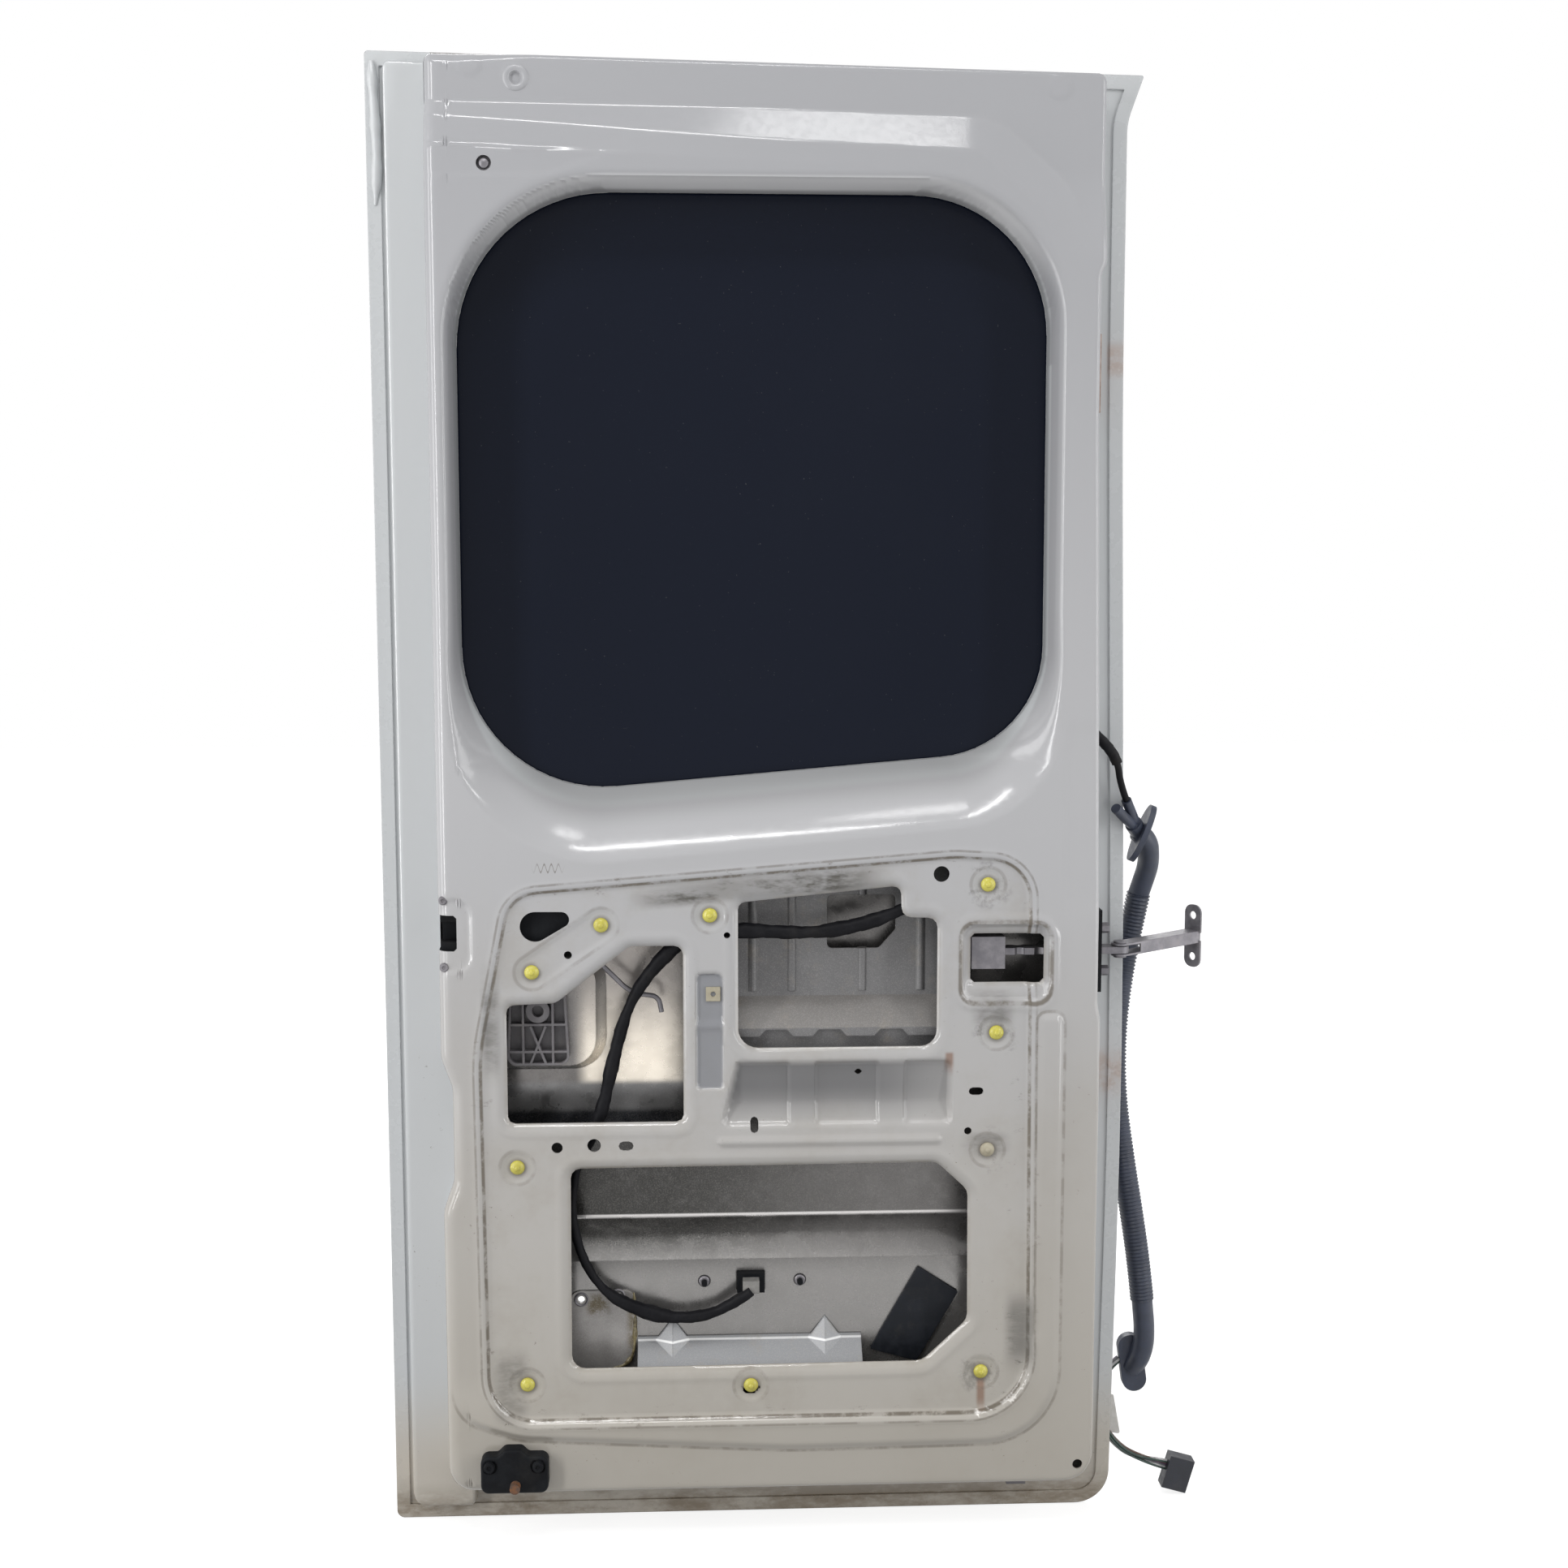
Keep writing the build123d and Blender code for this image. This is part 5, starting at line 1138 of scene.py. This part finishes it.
PATCH_HOLES = [(-528, -230), (-490, -227)]
PATCH_SEAT_Y = 10.0
GLUE = [(-474, 10.6, -224), (-472.5, 10.8, -245), (-473, 10.8, -268), (-474, 10.8, -288), (-482, 10.8, -301),
        (-497, 10.6, -305.5), (-515, 10.4, -306)]
GLUE_SHAPE = (2.0, 0.3, (0.5, 190), (0.4, 433))


def glue_bead():
    """Uneven bead of glue along the free edges of the patch."""
    return brushed_bead("glue_bead", GLUE, GLUE_SHAPE, "pale_plastic", 12)


RAIL_X = (-470, -238)
RAIL_SECTION = [(-27, -320), (-27, -306), (10, -275), (10, -271)]   # y and z, from the foot up
RAIL_SHEET = 1.6
RAIL_DARTS = (-434, -276)
DART_HALF = 18.0
DART_TOP = (12, -251)     # y and z on the plate above the fold
DART_FOOT = 0.42          # share of the slope that a dart reaches down


def gusset_rail():
    """Sloping rail at the foot of the lower opening, with two gusset darts across its fold."""
    bm = bmesh.new()
    ends = []
    for x in RAIL_X:
        front = [(x, y, z) for y, z in RAIL_SECTION]
        back = [(x, y + RAIL_SHEET, z) for y, z in reversed(RAIL_SECTION)]
        ends.append([bm.verts.new(Vector(p) * MM) for p in front + back])
    join_rings(bm, *ends)
    for ring in ends:
        bm.faces.new(ring)
    foot, fold = Vector(RAIL_SECTION[1]), Vector(RAIL_SECTION[2])
    low = fold.lerp(foot, DART_FOOT)
    for x in RAIL_DARTS:
        corners = ((x, *DART_TOP), (x, *low), (x - DART_HALF, *fold), (x + DART_HALF, *fold))
        top, tip, left, right = (bm.verts.new(Vector(p) * MM) for p in corners)
        for face in ((top, left, tip), (top, tip, right), (top, right, left), (tip, left, right)):
            bm.faces.new(face)
    piece = place("gusset_rail", finish_mesh(bm, "gusset_rail", 20), "door", "inner_coat")
    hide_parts("lower_rail")


LAMP_NUTS = [(-401, LAMP_SEAT_Y, -213), (-302, LAMP_SEAT_Y, -213)]
HEADER_STUD = [(-605, -29, 902)]
HEADER_PLUG = [(-575, -16.4, 984)]
LATCH_SCREWS = [(-657, -28.6, 195), (-657, -28.6, 128)]
GUIDE_BOLTS = [(-619, GUIDE_FACE_Y, -382), (-570, GUIDE_FACE_Y, -382)]


def small_pieces():
    """Fasteners and plugs that show on the face and between the panels; those painted white are returned."""
    turned_pieces("lamp_nuts", NUT_PROFILE, LAMP_NUTS, "zinc_steel")
    turned_pieces("patch_rings", RING_PROFILE, [(x, PATCH_SEAT_Y, z) for x, z in PATCH_HOLES], "zinc_steel")
    turned_pieces("header_stud", STUD_PROFILE, HEADER_STUD, "zinc_steel")
    turned_pieces("latch_screws", SCREW_PROFILE, LATCH_SCREWS, "zinc_steel")
    turned_pieces("guide_bolts", BOLT_PROFILE, GUIDE_BOLTS, "black_plastic")
    return [turned_pieces("header_plug", PLUG_PROFILE, HEADER_PLUG, "panel_paint"), hem_sealer()]


# Stage

CAMERA_AT = (-0.40769, -1.91851, 0.51792)
CAMERA_PITCH = 83.7
CAMERA_YAW = -2.65
FOCAL_PIXELS = 2375
IMAGE_PIXELS = 1932
SENSOR = 36.0
FLOOR_Z = -0.4712
FLOOR_REACH = 9.0
FLOOR_NEAR, FLOOR_GRAIN, FLOOR_FAR = (0.30, 0.30, 0.30), (0.33, 0.33, 0.33), (0.46, 0.46, 0.46)
SKY_LIGHT = 0.46


def camera():
    """Camera fitted to the photo's outline of the door."""
    data = bpy.data.cameras.new("camera")
    data.sensor_width = SENSOR
    data.lens = SENSOR * FOCAL_PIXELS / IMAGE_PIXELS
    eye = bpy.data.objects.new("camera", data)
    eye.location = CAMERA_AT
    eye.rotation_euler = (math.radians(CAMERA_PITCH), 0, math.radians(CAMERA_YAW))
    bpy.context.scene.collection.objects.link(eye)
    bpy.context.scene.camera = eye


def area_light(name, place_at, target, size, power, shape="RECTANGLE"):
    """Lamp that the camera itself does not see."""
    data = bpy.data.lights.new(name, "AREA")
    data.shape = shape
    data.size, data.size_y = size
    data.energy = power
    lamp = bpy.data.objects.new(name, data)
    lamp.location = place_at
    aim = Vector(target) - Vector(place_at)
    lamp.rotation_euler = aim.to_track_quat("-Z", "Y").to_euler()
    lamp.visible_camera = lamp.visible_transmission = False
    bpy.context.scene.collection.objects.link(lamp)


def seen_rays(tree):
    """1 for a ray from the camera, from a reflection or through glass."""
    path = tree.nodes.new("ShaderNodeLightPath")
    seen = path.outputs["Is Camera Ray"]
    for name in ("Is Glossy Ray", "Is Transmission Ray"):
        most = tree.nodes.new("ShaderNodeMath")
        most.operation = "MAXIMUM"
        tree.links.new(seen, most.inputs[0])
        tree.links.new(path.outputs[name], most.inputs[1])
        seen = most.outputs[0]
    return seen


def world():
    """Soft grey light all round; white where the camera, a reflection or glass sees it."""
    sky = bpy.data.worlds.new("studio")
    sky.use_nodes = True
    tree = sky.node_tree
    strength = tree.nodes.new("ShaderNodeMapRange")
    strength.inputs["To Min"].default_value = SKY_LIGHT
    strength.inputs["To Max"].default_value = 1.0
    tree.links.new(seen_rays(tree), strength.inputs["Value"])
    tree.links.new(strength.outputs["Result"], tree.nodes["Background"].inputs["Strength"])
    tree.nodes["Background"].inputs["Color"].default_value = (1, 1, 1, 1)
    bpy.context.scene.world = sky


def floor():
    """Pale floor that keeps the shadow near the door and turns to the white of the backdrop further off."""
    mesh = bpy.data.meshes.new("floor")
    corners = [(x * FLOOR_REACH, y * FLOOR_REACH, FLOOR_Z) for x, y in ((-1, -1), (1, -1), (1, 1), (-1, 1))]
    mesh.from_pydata(corners, [], [(0, 1, 2, 3)])
    ground = bpy.data.objects.new("floor", mesh)
    bpy.context.scene.collection.objects.link(ground)
    s = Shader("floor_paper", 0.9, specular=0.0)
    away = s.math("SQRT", s.math("ADD", s.math("POWER", s.math("ADD", s.x, 0.35), 2.0),
                                 s.math("POWER", s.y, 2.0)))
    far = s.step(away, 0.4, 1.1)
    grain = s.step(s.noise(3.0), 0.3, 0.7)
    s.colour(s.mix(far, s.mix(grain, FLOOR_NEAR, FLOOR_GRAIN), FLOOR_FAR))
    s.bsdf.inputs["Emission Color"].default_value = (1, 1, 1, 1)
    s.link(s.both(seen_rays(s.tree), s.step(far, 0.0, 1.0, 0.80, 0.88)), s.bsdf.inputs["Emission Strength"])
    mesh.materials.append(s.material)


def studio():
    """Narrow lamps above and at both sides for bright lines on rolled edges, and a broad one for the outside."""
    middle = (-0.35, 0.0, 0.3)
    area_light("overhead", (-0.80, -1.4, 2.5), (-0.35, 0.0, 0.5), (1.3, 0.12), 15)
    area_light("ceiling_lamp", (-0.08, -1.0, 2.5), (-0.24, -0.03, 0.9), (0.52, 0.28), 3, "ELLIPSE")
    area_light("rear_panel", (-0.35, 2.6, 1.5), middle, (2.0, 1.4), 42)
    area_light("left_rim", (-2.2, -0.45, 0.5), middle, (0.5, 2.2), 13)
    area_light("right_rim", (1.5, -0.45, 0.4), middle, (0.5, 2.2), 11)
    area_light("left_strip", (-2.5, -1.7, 0.8), middle, (0.4, 2.4), 31)
    area_light("right_strip", (1.8, -1.7, 0.8), middle, (0.3, 2.4), 19)


# Build

def dress(materials):
    """Give each CAD node its own material, or else the one of its slot, and each new piece that of its slot."""
    slots = {part["node"]: part["material_slot"] for part in frame["record"]["subparts"]}
    for name, node in frame["nodes"].items():
        node.data.materials.clear()
        node.data.materials.append(materials.get(name) or materials[slots[name]])
    for piece in bpy.context.scene.objects:
        if "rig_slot" in piece and not piece.data.materials:
            piece.data.materials.append(materials[piece["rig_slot"]])


def build():
    """All pieces, their materials and the stage."""
    face = pressed_face()
    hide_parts("inner_panel", "latch_panel", "hinge_panel", "lower_panel", "window_frame")
    clip_heads("yellow_clips", CLIPS, "yellow_plastic", ["trim_clips"])
    clip_heads("natural_clip", [PALE_CLIP], "pale_plastic", ["pale_clip"])
    gusset_rail()
    door_harness()
    harness_lead()
    conduit()
    wire_tail()
    seats = hinge_seats()
    seats.data.materials.append(stained_paint())
    glue_bead().data.materials.append(patch_glue())
    trim = white_trim()
    for piece in small_pieces():
        piece.data.materials.append(trim)
    dress(make_materials())
    camera()
    world()
    floor()
    studio()
    bpy.context.scene.view_settings.view_transform = "Standard"


build()
